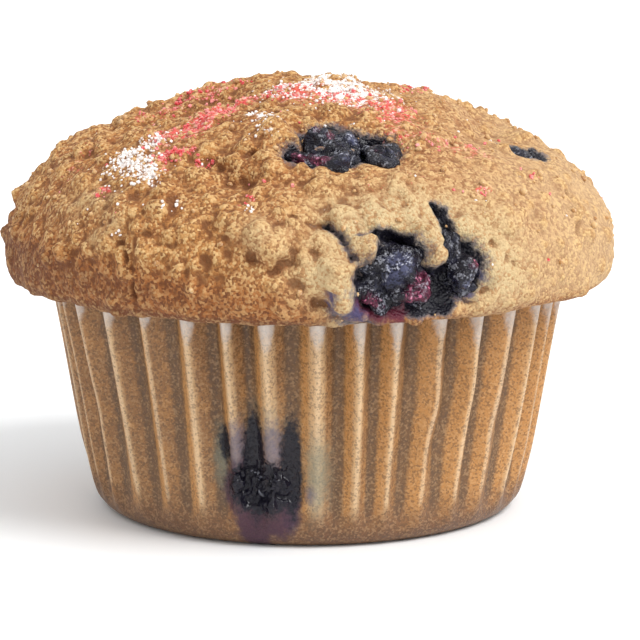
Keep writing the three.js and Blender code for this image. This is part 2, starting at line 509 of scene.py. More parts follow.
class Shader:
    """Builds one material's or one group's nodes in plain words."""

    def __init__(self, tree: bpy.types.NodeTree) -> None:
        """Starts on an empty node tree."""
        self.tree = tree
        self.tree.nodes.clear()

    def add(self, kind: str, **settings: object) -> bpy.types.Node:
        """Adds a node.

        Args:
            kind: the node's type.
            **settings: its properties.

        Returns:
            The node.
        """
        node = self.tree.nodes.new(kind)
        for name, value in settings.items():
            setattr(node, name, value)
        return node

    def feed(self, socket: bpy.types.NodeSocket, value: object) -> None:
        """Links an output to a socket, or sets the socket's own value.

        Args:
            socket: the input to fill.
            value: an output socket, a number or a colour.
        """
        if isinstance(value, bpy.types.NodeSocket):
            self.tree.links.new(value, socket)
        elif socket.type == "RGBA":
            socket.default_value = (*value, 1.0)
        else:
            socket.default_value = value

    def place(self) -> bpy.types.NodeSocket:
        """The surface's own place, in metres."""
        return self.add("ShaderNodeTexCoord").outputs["Object"]

    def painted(self, name: str) -> bpy.types.NodeSocket:
        """The number stored on the mesh under a name."""
        return self.add("ShaderNodeAttribute", attribute_name=name).outputs["Fac"]

    def scale_for(self, size_mm: object) -> object:
        """The scale that gives a pattern a size.

        Args:
            size_mm: the size, as a number or an output socket.

        Returns:
            The scale, as a number or an output socket.
        """
        if isinstance(size_mm, bpy.types.NodeSocket):
            return self.sums("DIVIDE", 1.0 / MM, size_mm)
        return 1.0 / (size_mm * MM)

    def clouds(self, size_mm: object, detail: float = 2.0, roughness: float = 0.5) -> bpy.types.NodeSocket:
        """A cloudy pattern.

        Args:
            size_mm: the size of its blots.
            detail: how many finer layers it has.
            roughness: how strong the finer layers are.

        Returns:
            A value around 0.5.
        """
        node = self.add("ShaderNodeTexNoise")
        self.feed(node.inputs["Vector"], self.place())
        self.feed(node.inputs["Scale"], self.scale_for(size_mm))
        node.inputs["Detail"].default_value = detail
        node.inputs["Roughness"].default_value = roughness
        return node.outputs["Fac"]

    def cells(self, size_mm: object, output: str = "Distance") -> bpy.types.NodeSocket:
        """A pattern of grains.

        Args:
            size_mm: the size of a grain.
            output: Distance for a grain's hollow shape, Color for its own random colour.

        Returns:
            The pattern.
        """
        node = self.add("ShaderNodeTexVoronoi")
        self.feed(node.inputs["Vector"], self.place())
        self.feed(node.inputs["Scale"], self.scale_for(size_mm))
        return node.outputs[output]

    def eastward(self) -> bpy.types.NodeSocket:
        """How far towards +X the surface is, in metres."""
        node = self.add("ShaderNodeSeparateXYZ")
        self.feed(node.inputs[0], self.place())
        return node.outputs["X"]

    def sums(
        self, operation: str, first: object, second: object = 0.0, third: object = 0.0
    ) -> bpy.types.NodeSocket:
        """A sum of values.

        Args:
            operation: the Math node's operation.
            first: its first value.
            second: its second value.
            third: its third value.

        Returns:
            The result.
        """
        node = self.add("ShaderNodeMath", operation=operation)
        for socket, value in zip(node.inputs, (first, second, third)):
            self.feed(socket, value)
        return node.outputs[0]

    def span(
        self, value: object, low: object, high: object, start: float = 0.0, end: float = 1.0
    ) -> bpy.types.NodeSocket:
        """Eases a value between two limits.

        Args:
            value: the value to ease.
            low: where the result is start.
            high: where the result is end.
            start: the result at low.
            end: the result at high.

        Returns:
            The eased value.
        """
        node = self.add("ShaderNodeMapRange", interpolation_type="SMOOTHSTEP")
        for socket, number in zip(node.inputs, (value, low, high, start, end)):
            self.feed(socket, number)
        return node.outputs["Result"]

    def blend(
        self, share: object, first: object, second: object, mode: str = "MIX"
    ) -> bpy.types.NodeSocket:
        """Mixes two colours.

        Args:
            share: how much of the second shows.
            first: the colour underneath.
            second: the colour on top.
            mode: how they mix.

        Returns:
            The mixed colour.
        """
        node = self.add("ShaderNodeMix", data_type="RGBA", blend_type=mode)
        self.feed(node.inputs["Factor"], share)
        self.feed(node.inputs[6], first)
        self.feed(node.inputs[7], second)
        return node.outputs[2]

    def effect(self, name: str, **values: object) -> bpy.types.Node:
        """Places a shared effect.

        Args:
            name: the effect's node group.
            **values: its inputs.

        Returns:
            The group's node.
        """
        node = self.add("ShaderNodeGroup", node_tree=bpy.data.node_groups[name])
        for socket, value in values.items():
            self.feed(node.inputs[socket], value)
        return node

    def ragged(
        self, amount: object, size_mm: float, rag: float, low: float, high: float, most: float = 1.0
    ) -> bpy.types.NodeSocket:
        """A mask with a ragged, granular edge.

        Args:
            amount: where it is, from 0 to 1.
            size_mm: the size of the edge's tatters.
            rag: how far they reach.
            low: the amount where the mask starts.
            high: the amount where it is full.
            most: the mask's highest value.

        Returns:
            The mask.
        """
        node = self.effect(RAGGED_EDGE, Amount=amount, Size=size_mm, Rag=rag, Low=low, High=high)
        return self.sums("MULTIPLY", node.outputs["Mask"], most)

    def bump(self, height: object, depth_mm: float) -> bpy.types.NodeSocket:
        """Turns a height into a bumpy normal.

        Args:
            height: a value from 0 to 1.
            depth_mm: how deep the pattern is.

        Returns:
            The normal.
        """
        node = self.add("ShaderNodeBump")
        node.inputs["Strength"].default_value = 1.0
        node.inputs["Distance"].default_value = depth_mm * MM
        self.feed(node.inputs["Height"], height)
        return node.outputs["Normal"]

    def surface(self, colour: object, roughness: object, normal: object, **settings: float) -> None:
        """Ends a material in a Principled BSDF.

        Args:
            colour: its base colour.
            roughness: its roughness.
            normal: its normal.
            **settings: other sockets, with spaces in their names as underscores.
        """
        skin = self.add("ShaderNodeBsdfPrincipled")
        self.feed(skin.inputs["Base Color"], colour)
        self.feed(skin.inputs["Roughness"], roughness)
        self.feed(skin.inputs["Normal"], normal)
        for name, value in settings.items():
            self.feed(skin.inputs[name.replace("_", " ")], value)
        output = self.add("ShaderNodeOutputMaterial")
        self.tree.links.new(skin.outputs["BSDF"], output.inputs["Surface"])


def blank_material(name: str) -> tuple[bpy.types.Material, Shader]:
    """A new material and what builds its nodes.

    Args:
        name: the material's name.

    Returns:
        The material and its shader.
    """
    material = bpy.data.materials.new(name)
    material.use_nodes = True
    return material, Shader(material.node_tree)


def new_effect(
    name: str, inputs: tuple[str, ...], outputs: tuple[str, ...]
) -> tuple[Shader, bpy.types.Node, bpy.types.Node]:
    """Starts the node group of a shared effect.

    Args:
        name: the group's name.
        inputs: the names of its number inputs.
        outputs: the names of its number outputs.

    Returns:
        What builds its nodes, its input node and its output node.
    """
    tree = bpy.data.node_groups.new(name, "ShaderNodeTree")
    for socket in inputs:
        tree.interface.new_socket(socket, in_out="INPUT", socket_type="NodeSocketFloat")
    for socket in outputs:
        tree.interface.new_socket(socket, in_out="OUTPUT", socket_type="NodeSocketFloat")
    s = Shader(tree)
    return s, s.add("NodeGroupInput"), s.add("NodeGroupOutput")


def build_ragged_edge() -> None:
    """Builds the mask with a ragged edge."""
    s, given, result = new_effect(RAGGED_EDGE, ("Amount", "Size", "Rag", "Low", "High"), ("Mask",))
    tatters = s.sums("SUBTRACT", s.clouds(given.outputs["Size"], 3.0, 0.65), 0.5)
    reach = s.sums("MULTIPLY_ADD", tatters, given.outputs["Rag"], given.outputs["Amount"])
    s.feed(result.inputs["Mask"], s.span(reach, given.outputs["Low"], given.outputs["High"]))


def build_speckle() -> None:
    """Builds the fine light and dark grains, and how high each stands."""
    s, given, result = new_effect(SPECKLE, ("Size",), ("Light", "Dark", "Height"))
    size = given.outputs["Size"]
    grain = s.clouds(s.sums("MULTIPLY", size, 0.9), 3.0, 0.7)
    tone = s.cells(size, "Color")
    mixed = s.sums("MULTIPLY_ADD", tone, 0.55, s.sums("MULTIPLY", grain, 0.45))
    raised = s.sums("ADD", mixed, 0.6)
    s.feed(result.inputs["Light"], s.span(mixed, 0.48, 0.66))
    s.feed(result.inputs["Dark"], s.span(mixed, 0.49, 0.33))
    s.feed(result.inputs["Height"], s.sums("MULTIPLY_ADD", s.cells(size), -0.8, raised))


@dataclass(frozen=True)
class CrumbFinish:
    """Baked crumb: golden grains, brown along the lip and pale where it split late, with painted shade in
    its hollows and under the lip, and painted light on its lumps and its +X side.

    It reads these attributes of the mesh: proud (0 in a hollow, 1 on a lump), browned, pale, juice, wine,
    inky, red_dust and white_dust.

    Attributes:
        name: the material's name.
        grain_mm: the size of its finest grains.
        lump_mm: the size of its small blots.
        patch_mm: the size of its broad patches.
        relief_mm: how deep the grains are.
        painted_light_from: how far towards +X the painted light, which makes the crumb paler on its lit
            side, starts.
        painted_light_to: where that painted light is strongest.
        golden: the crust's main colour.
        light: its lighter grains, painted stronger on the lumps as painted light.
        painted_top_light: painted light on the crowns of its lumps.
        toasted: its browner patches.
        hollow: painted shade in its hollows, and its darkest grains.
        painted_light_side: the paler colour painted as light on the lit +X side.
        rim: the brown lip, stronger on the -X side away from the light, partly as painted shade.
        rim_edge: the lip's darkest edge and grains, toasted crumb with painted shade under the lip.
        pale: the crumb that split late.
        juice_tint: crumb with a little juice in it.
        juice_deep: crumb soaked in juice.
        wine: red pulp smeared on the crumb.
        inky: blue juice smeared on the crumb.
        red: melted red sugar.
        pink: its lighter grains.
        white: melted white sugar.
    """

    name: str = "baked_crumb"
    grain_mm: float = 0.33
    lump_mm: float = 2.2
    patch_mm: float = 7.0
    relief_mm: float = 0.20
    painted_light_from: float = 0.004
    painted_light_to: float = 0.034
    golden: Colour = (0.415, 0.175, 0.045)
    light: Colour = (0.69, 0.46, 0.21)
    painted_top_light: Colour = (0.52, 0.280, 0.094)
    toasted: Colour = (0.35, 0.130, 0.034)
    hollow: Colour = (0.14, 0.043, 0.010)
    painted_light_side: Colour = (0.53, 0.350, 0.185)
    rim: Colour = (0.32, 0.102, 0.020)
    rim_edge: Colour = (0.105, 0.026, 0.009)
    pale: Colour = (0.575, 0.445, 0.245)
    juice_tint: Colour = (0.130, 0.125, 0.150)
    juice_deep: Colour = (0.008, 0.007, 0.014)
    wine: Colour = (0.13, 0.012, 0.030)
    inky: Colour = (0.055, 0.055, 0.135)
    red: Colour = (0.72, 0.09, 0.08)
    pink: Colour = (0.86, 0.42, 0.38)
    white: Colour = (0.93, 0.90, 0.88)

    def material(self) -> bpy.types.Material:
        """Builds the material.

        Returns:
            The material.
        """
        material, s = blank_material(self.name)
        speckle = s.effect(SPECKLE, Size=self.grain_mm)
        light, dark, height = (speckle.outputs[name] for name in ("Light", "Dark", "Height"))
        lumps = s.clouds(self.lump_mm, 3.0, 0.6)
        proud, browned = s.painted("proud"), s.painted("browned")
        body = s.blend(s.span(s.clouds(self.patch_mm, 2.0), 0.36, 0.58), self.golden, self.toasted)
        body = s.blend(s.span(lumps, 0.42, 0.62, 0.0, 0.70), body, self.golden)
        # Painted light: the crumb turns paler towards +X, the side the light falls on.
        east = s.sums("ADD", s.eastward(), s.sums("MULTIPLY_ADD", lumps, 0.024, -0.012))
        body = s.blend(s.span(east, self.painted_light_from, self.painted_light_to, 0.0, 0.8), body, self.painted_light_side)
        # The lip's browning, partly painted shade: the rim and its darkest edge are stronger under the lip
        # and on the -X side, away from the light.
        body = s.blend(s.ragged(browned, 0.7, 1.00, 0.15, 0.90, 0.86), body, self.rim)
        body = s.blend(s.ragged(browned, 0.6, 0.70, 0.85, 1.25, 0.85), body, self.rim_edge)
        burnt_and_shaded = s.sums("MULTIPLY", dark, s.span(browned, 0.3, 0.9, 0.0, 0.7))
        body = s.blend(burnt_and_shaded, body, self.rim_edge)
        fresh = s.span(browned, 0.2, 1.1, 1.0, 0.40)
        # Painted light: the crowns of the lumps are lighter.
        tops = s.sums("MULTIPLY", s.span(proud, 0.52, 0.90, 0.0, 0.55), fresh)
        body = s.blend(tops, body, self.painted_top_light)
        # The painted shade in the hollows is weaker on the lit +X side.
        less_shade_east = s.span(east, self.painted_light_from, self.painted_light_to, 1.0, 0.42)
        # Painted light: the light grains are stronger on the lumps.
        lit = s.sums("MULTIPLY", light, s.span(proud, 0.25, 0.70, 0.25, 0.70))
        body = s.blend(s.sums("MULTIPLY", lit, fresh), body, self.light)
        # Painted shade: the hollows are darker, and the darkest grains take the same colour.
        shaded = s.sums("MAXIMUM", s.span(proud, 0.45, 0.12, 0.0, 0.85), s.sums("MULTIPLY", dark, 0.70))
        body = s.blend(s.sums("MULTIPLY", shaded, less_shade_east), body, self.hollow)
        pale = s.blend(s.sums("MULTIPLY", dark, 0.6), self.pale, self.golden)
        split = s.sums("MULTIPLY", s.painted("pale"), s.span(proud, 0.15, 0.5, 0.25, 0.92))
        body = s.blend(split, body, pale)
        juice = s.painted("juice")
        body = s.blend(s.ragged(juice, 0.50, 0.80, 0.20, 0.60, 0.78), body, self.juice_tint)
        wet = s.ragged(juice, 0.70, 0.60, 0.46, 0.66)
        body = s.blend(wet, body, self.juice_deep)
        body = s.blend(s.ragged(s.painted("wine"), 0.6, 1.0, 0.22, 0.85, 0.90), body, self.wine)
        body = s.blend(s.ragged(s.painted("inky"), 0.6, 1.0, 0.20, 0.80, 0.88), body, self.inky)
        red = s.blend(light, self.red, self.pink)
        body = s.blend(s.ragged(s.painted("red_dust"), 0.6, 1.8, 0.40, 0.85, 0.88), body, red)
        body = s.blend(s.ragged(s.painted("white_dust"), 0.75, 1.9, 0.44, 0.74, 0.93), body, self.white)
        s.surface(body, s.span(wet, 0.2, 0.9, 0.88, 0.30), s.bump(height, self.relief_mm))
        return material


@dataclass(frozen=True)
class PaperFinish:
    """Greased baking paper: brown where fat has soaked it, pale on dry crests, speckled, slightly glossy,
    with painted shade in its folds and painted highlights on its crests.

    It reads these attributes of the mesh: crest (0 in a valley, 1 on a crest), flank (-1 on one side of a
    pleat, 1 on the other), height (0 at the foot, 1 at the mouth), strip (the pale front of a
    pleat, partly a painted highlight), dry (where the paper stands off the cake), and the juice marks navy,
    purple, lavender and halo.

    Attributes:
        name: the material's name.
        grain_mm: the size of its specks.
        mottle_mm: the size of its small blots.
        patch_mm: the size of its broad patches.
        relief_mm: how deep its unevenness is.
        shine: the strength of its reflection.
        amber: a pleat's lighter side.
        umber: its darker side.
        valley: painted shade in the folds between pleats.
        cream: a pleat's pale front, partly a painted highlight, and lighter specks.
        line: a painted highlight along the sharp crest.
        foot: the brown band at the foot.
        dry: paper that no fat has reached.
        dot: its dark specks.
        halo: the outermost juice.
        lavender: thin juice on the crests.
        purple: red juice low in the stain.
        navy: the darkest, wet juice.
    """

    name: str = "greased_paper"
    grain_mm: float = 0.24
    mottle_mm: float = 2.0
    patch_mm: float = 7.0
    relief_mm: float = 0.16
    shine: float = 0.32
    amber: Colour = (0.51, 0.240, 0.074)
    umber: Colour = (0.275, 0.134, 0.054)
    valley: Colour = (0.112, 0.060, 0.031)
    cream: Colour = (0.62, 0.41, 0.22)
    line: Colour = (0.80, 0.58, 0.36)
    foot: Colour = (0.120, 0.053, 0.028)
    dry: Colour = (0.66, 0.60, 0.56)
    dot: Colour = (0.085, 0.050, 0.030)
    halo: Colour = (0.20, 0.20, 0.145)
    lavender: Colour = (0.115, 0.102, 0.145)
    purple: Colour = (0.055, 0.020, 0.040)
    navy: Colour = (0.006, 0.006, 0.013)

    def material(self) -> bpy.types.Material:
        """Builds the material.

        Returns:
            The material.
        """
        material, s = blank_material(self.name)
        crest, flank, height = s.painted("crest"), s.painted("flank"), s.painted("height")
        speckle = s.effect(SPECKLE, Size=self.grain_mm)
        light, dark = speckle.outputs["Light"], speckle.outputs["Dark"]
        mottle, soft = s.clouds(self.mottle_mm, 3.0, 0.65), s.clouds(self.patch_mm, 2.0)
        side = s.sums("ADD", flank, s.sums("MULTIPLY_ADD", soft, 2.0, -1.0))
        body = s.blend(s.span(side, -0.55, 0.55), self.amber, self.umber)
        body = s.blend(s.span(mottle, 0.42, 0.66, 0.0, 0.40), body, self.amber)
        # Painted shade: the folds between pleats are darker.
        edge = s.sums("ADD", crest, s.sums("MULTIPLY_ADD", mottle, 0.30, -0.15))
        body = s.blend(s.span(edge, 0.42, 0.10, 0.0, 0.85), body, self.valley)
        # The pale front of each pleat: partly pale paper, partly a painted highlight, broadest at the
        # front.
        strip = s.ragged(s.painted("strip"), 1.2, 0.9, 0.10, 1.15, 0.78)
        body = s.blend(strip, body, self.cream)
        # Painted highlight: a bright line along each crest.
        body = s.blend(s.span(crest, 0.93, 0.995, 0.0, 0.45), body, self.line)
        low = s.sums("SUBTRACT", 1.0, height)
        body = s.blend(s.ragged(low, 2.0, 0.16, 0.78, 0.95, 0.85), body, self.foot)
        body = s.blend(s.sums("MULTIPLY", dark, 0.55), body, self.dot)
        body = s.blend(s.sums("MULTIPLY", light, 0.22), body, self.cream)
        dry = s.ragged(s.painted("dry"), 0.8, 0.75, 0.15, 1.25, 0.82)
        body = s.blend(dry, body, self.dry)
        body = s.blend(s.ragged(s.painted("halo"), 1.1, 0.7, 0.10, 0.80, 0.72), body, self.halo)
        thin = s.ragged(s.painted("lavender"), 0.8, 0.7, 0.15, 0.80, 0.80)
        body = s.blend(thin, body, self.lavender)
        body = s.blend(s.ragged(s.painted("purple"), 1.0, 0.6, 0.12, 0.62, 0.92), body, self.purple)
        wet = s.ragged(s.painted("navy"), 0.6, 0.9, 0.14, 0.60)
        body = s.blend(s.sums("MULTIPLY", wet, 0.97), body, self.navy)
        normal = s.bump(s.sums("ADD", s.sums("MULTIPLY", light, 0.35), mottle), self.relief_mm)
        rough = s.span(wet, 0.2, 0.8, 0.44, 0.14)
        s.surface(body, rough, normal, Specular_IOR_Level=self.shine)
        return material


@dataclass(frozen=True)
class BerryFinish:
    """Baked blueberry: near-black wet skin, a pale bloom in patches, pale specks that are partly bloom and
    partly painted glints, and wine-red pulp where it has burst.

    It reads these attributes of the mesh: bloom and pulp.

    Attributes:
        name: the material's name.
        grain_mm: the size of its specks.
        fold_mm: the size of its blots.
        seed_mm: how far apart its seeds are.
        relief_mm: how deep its specks are.
        shine: the strength of its reflection.
        skin: the skin's main colour.
        sheen: its lighter blots.
        bloom: the pale coat on it.
        frost: the lightest specks, partly bloom and partly painted glints.
        pulp: the flesh where it has burst.
        seed: the seeds in the flesh.
    """

    name: str = "baked_berry"
    grain_mm: float = 0.26
    fold_mm: float = 1.8
    seed_mm: float = 0.70
    relief_mm: float = 0.12
    shine: float = 0.30
    skin: Colour = (0.006, 0.005, 0.010)
    sheen: Colour = (0.012, 0.012, 0.028)
    bloom: Colour = (0.070, 0.075, 0.140)
    frost: Colour = (0.62, 0.63, 0.72)
    pulp: Colour = (0.085, 0.008, 0.028)
    seed: Colour = (0.56, 0.16, 0.27)

    def material(self) -> bpy.types.Material:
        """Builds the material.

        Returns:
            The material.
        """
        material, s = blank_material(self.name)
        speckle = s.effect(SPECKLE, Size=self.grain_mm)
        light, dark = speckle.outputs["Light"], speckle.outputs["Dark"]
        body = s.blend(s.span(s.clouds(self.fold_mm, 3.0, 0.6), 0.45, 0.65), self.skin, self.sheen)
        pulp = s.ragged(s.painted("pulp"), 0.9, 1.0, 0.35, 0.70)
        body = s.blend(pulp, body, self.pulp)
        seeds = s.sums("MULTIPLY", s.span(s.cells(self.seed_mm), 0.46, 0.24), s.span(pulp, 0.4, 0.9))
        body = s.blend(s.sums("MULTIPLY", seeds, s.span(light, 0.1, 0.6, 0.25, 1.0)), body, self.seed)
        bloom = s.ragged(s.painted("bloom"), 0.8, 1.1, 0.35, 0.85)
        body = s.blend(s.sums("MULTIPLY", bloom, 0.85), body, self.bloom)
        # Pale specks over the skin: partly bloom, partly painted glints, which show even where there is no
        # bloom.
        flecks = s.sums("MULTIPLY", s.span(s.clouds(1.3, 2.0), 0.47, 0.60, 0.0, 0.85), light)
        body = s.blend(s.sums("MULTIPLY", s.sums("MAXIMUM", bloom, 0.36), flecks), body, self.frost)
        body = s.blend(s.sums("MULTIPLY", dark, 0.85), body, self.skin)
        wetness = s.span(s.clouds(1.4, 2.0), 0.42, 0.62, 0.06, 0.32)
        rough = s.sums("MAXIMUM", wetness, s.sums("MULTIPLY", bloom, 0.6))
        normal = s.bump(speckle.outputs["Height"], self.relief_mm)
        s.surface(body, rough, normal, Specular_IOR_Level=self.shine)
        return material


@dataclass(frozen=True)
class GrainFinish:
    """Coarse grains of one family of colour, lightly frosted.

    Attributes:
        name: the material's name.
        main: the commonest colour.
        other: the colour that the rest lean to.
        roughness: how matt the grains are.
        frost: the colour of the finest specks on them.
        frost_mm: the size of those specks.
        family_mm: the size of the patches in which grains share a colour.
    """

    name: str
    main: Colour
    other: Colour
    roughness: float
    frost: Colour = (0.95, 0.9, 0.88)
    frost_mm: float = 0.16
    family_mm: float = 1.1

    def material(self) -> bpy.types.Material:
        """Builds the material.

        Returns:
            The material.
        """
        material, s = blank_material(self.name)
        family = s.span(s.clouds(self.family_mm, 1.0), 0.38, 0.62)
        specks = s.clouds(self.frost_mm, 2.0, 0.6)
        body = s.blend(family, self.main, self.other)
        body = s.blend(s.span(specks, 0.5, 0.7, 0.0, 0.3), body, self.frost)
        rough = s.span(specks, 0.4, 0.6, self.roughness, self.roughness + 0.2)
        s.surface(body, rough, s.bump(specks, 0.05))
        return material


# ---------------------------------------------------------------- the cake


@dataclass(frozen=True)
class Furrow:
    """A crack or a hollow that runs along the cap.

    Attributes:
        spots: the corners of its line.
        half_width_mm: how far from the line it fades.
        depth_mm: how deep it is, or how high where negative.
        juice: how much berry juice stains it.
    """

    spots: tuple[Spot, ...]
    half_width_mm: float
    depth_mm: float
    juice: float = 0.0


@dataclass(frozen=True)
class Lump:
    """A knob of crumb that stands on the cap.

    Attributes:
        spot: where it is.
        radius_mm: its radius.
        lift: how much of its radius stands over the surface.
    """

    spot: Spot
    radius_mm: float
    lift: float = 0.3


@dataclass(frozen=True)
class Wash:
    """A soft-edged patch of colour on the cap.

    Attributes:
        kind: the attribute that it paints.
        spots: the corners of its middle line.
        reach_mm: how far it spreads.
        strength: how strong it is in the middle.
    """

    kind: str
    spots: tuple[Spot, ...]
    reach_mm: float
    strength: float = 1.0


def line(*pairs: tuple[float, float]) -> tuple[Spot, ...]:
    """Spots from pairs of azimuth and elevation."""
    return tuple(Spot(*pair) for pair in pairs)


WHITE_SHOULDER = line((-53, 31), (-45, 30), (-38, 27.5))
WHITE_STREAK = line((-48, 38), (-50, 34))
WHITE_TOP = line((-60, 78), (-20, 82), (30, 79), (42, 68))
WHITE_CROWN = line((-22, 52), (-14, 50), (-13, 44))
WHITE_BACK = line((150, 70), (170, 64))
RED_CLUSTER = line((-38, 32), (-35, 36))
RED_FLECK = line((-29, 33), (-28, 33.5))
RED_DOT_HIGH = line((-49, 34), (-48, 34.5))
RED_DOT_LOW = line((-48, 22), (-47.5, 22.5))
RED_DOT_MIDDLE = line((-13, 24), (-12.5, 24.5))
RED_LEFT = line((-47, 40), (-41, 44), (-43, 53), (-48, 62), (-46, 72))
RED_TOP = line((-30, 74), (1, 71), (45, 62), (38, 52))
RED_BACK = line((-130, 60), (-110, 52), (-100, 44))
RED_BACK_RIGHT = line((100, 62), (130, 50))
ALL_ROUND = line((-90, 40), (-20, 40), (40, 40), (100, 40), (180, 40))

FURROWS = (
    Furrow(
        line((10.5, 7), (12.5, 7.6), (16, 8.8), (21, 7.2), (25.5, 7.3), (29.8, 8.2), (31.2, 11.4)),
        1.9,
        3.0,
        1.0,
    ),
    Furrow(line((13, 12.6), (17.2, 13), (20.4, 13.4)), 1.5, 2.6, 1.0),
    Furrow(line((11.5, 4.5), (17, 4.5), (26, 4.2)), 1.1, 1.6, 1.0),
    Furrow(line((-3, 37), (3, 36.3), (8, 36.3), (16, 37), (23.5, 38.4)), 1.7, 2.7, 1.0),
    Furrow(line((1.5, 43.5), (7, 46), (13, 45.5), (19, 43), (23, 41)), 1.7, 2.7, 1.0),
    Furrow(line((71.5, 33), (70.8, 30.8), (73, 28.8), (76, 28.6)), 0.75, 2.0, 0.95),
    Furrow(line((-163, 41), (-158, 38), (-152, 37)), 2.4, 2.6, 1.0),
    Furrow(line((142, 15), (146, 12), (150, 9.5)), 2.4, 2.6, 1.0),
    Furrow(line((-88, 40), (-88, 62)), 6.0, 2.1),
    Furrow(line((-88, 36), (-88, 46)), 4.0, 1.0),
    Furrow(line((-88, 62), (-80, 76)), 6.0, 1.1),
    Furrow(line((66, 38), (84, 38), (100, 40)), 4.2, 1.6),
    Furrow(line((66, 12), (88, 13), (110, 12)), 4.4, -0.7),
    Furrow(line((60, 2), (80, 2), (100, 2)), 3.4, -1.0),
    Furrow(line((-60, 2), (-80, 2), (-100, 2)), 3.4, -0.6),
    Furrow(line((27.4, 12), (28, 16), (28, 18.5), (27.5, 21.5)), 0.48, 2.0, 0.95),
    Furrow(line((9.6, 9), (8.6, 13), (6.5, 16.5), (4, 18.5)), 0.45, 1.5, 0.62),
    Furrow(line((4, 18.5), (0, 19), (-3, 19.8)), 0.55, 1.0, 0.2),
    Furrow(line((10.5, 15.6), (14, 16.3), (17, 15.5), (19.5, 14.6)), 0.65, 1.9, 0.95),
    Furrow(line((5, 3.5), (8, 1.5), (12, 1.5)), 0.8, 0.8, 0.5),
    Furrow(line((30.5, 4.5), (33, 5.5), (35.5, 6.5)), 0.32, 0.8),
    Furrow(line((-37, 13), (-34.5, 9.5), (-33.5, 5)), 0.38, 0.9),
    Furrow(line((-26, 33), (-22, 30.5), (-19, 29), (-15, 28.5)), 1.3, 1.5),
    Furrow(line((-10, 12.5), (-6.5, 10.5), (-3, 12), (1, 12.5)), 0.9, 1.1),
    Furrow(line((1, 5.2), (4, 5)), 0.55, 1.2),
    Furrow(line((36.5, 13.5), (37.5, 12.5)), 0.35, 1.0),
    Furrow(line((40, 10), (41, 9.4)), 0.3, 0.9),
    Furrow(line((-4, 29), (0, 27.5), (5, 28)), 0.8, 0.7),
    Furrow(line((62, 12), (66, 15), (67, 19)), 0.5, 1.0),
    Furrow(line((95, 20), (104, 24), (109, 31)), 0.7, 1.5),
    Furrow(line((138, 26), (148, 27), (158, 24), (166, 25)), 0.8, 1.7, 0.3),
    Furrow(line((176, 40), (-176, 35), (-168, 34)), 0.8, 1.5, 0.2),
    Furrow(line((-150, 18), (-142, 22), (-137, 28)), 0.7, 1.6),
    Furrow(line((-112, 30), (-105, 35), (-98, 35)), 0.8, 1.3),
    Furrow(line((-88, 12), (-82, 14), (-77, 12)), 0.5, 1.0),
    Furrow(line((150, 60), (175, 62), (-165, 58)), 0.9, 1.3),
)

LUMPS = (
    Lump(Spot(-9.2, 16.5), 1.7, 0.35),
    Lump(Spot(-7.2, 14.4), 1.4, 0.35),
    Lump(Spot(-5.0, 16.2), 1.3, 0.25),
    Lump(Spot(-2.6, 18.4), 1.5, 0.20),
    Lump(Spot(7, 20.5), 2.2, 0.10),
    Lump(Spot(11.0, 13.6), 2.1, 0.35),
    Lump(Spot(12.6, 11.6), 1.3, 0.45),
    Lump(Spot(14, 19.0), 2.0, 0.10),
    Lump(Spot(22.3, 15.8), 2.3, 0.30),
    Lump(Spot(24.3, 11.9), 1.5, 0.40),
    Lump(Spot(5.2, 9.4), 2.3, 0.30),
    Lump(Spot(7.6, 7.6), 1.6, 0.35),
    Lump(Spot(6.0, 5.6), 1.9, 0.20),
    Lump(Spot(20.5, 2.0), 1.2, 0.25),
    Lump(Spot(31.5, 17), 2.0, 0.10),
    Lump(Spot(35.0, 9), 2.1, 0.05),
    Lump(Spot(13.8, 34.6), 1.3, 0.35),
    Lump(Spot(4.0, 33.2), 1.4, 0.20),
    Lump(Spot(-12, 44), 2.0, 0.25),
    Lump(Spot(-10, 51), 2.1, 0.15),
    Lump(Spot(14, 56), 1.8, 0.20),
    Lump(Spot(27, 52), 1.9, 0.15),
    Lump(Spot(86, 32.5), 2.4, 0.05),
    Lump(Spot(-54.0, 17.9), 0.9, 0.25),
    Lump(Spot(-52.1, 20.6), 1.2, 0.25),
    Lump(Spot(-49.4, 22.0), 1.0, 0.25),
    Lump(Spot(-46.5, 19.6), 1.3, 0.20),
    Lump(Spot(-43.0, 21.0), 0.9, 0.30),
    Lump(Spot(-49.0, 17.8), 0.8, 0.30),
    Lump(Spot(-42.4, 14.0), 1.1, 0.30),
    Lump(Spot(-40.0, 15.6), 1.2, 0.25),
    Lump(Spot(-38.4, 17.2), 0.8, 0.35),
    Lump(Spot(-31, 20), 1.8, 0.20),
    Lump(Spot(-30, 12), 1.1, 0.25),
)

WASH_KINDS = ("pale", "wine", "inky", "red_dust", "white_dust")

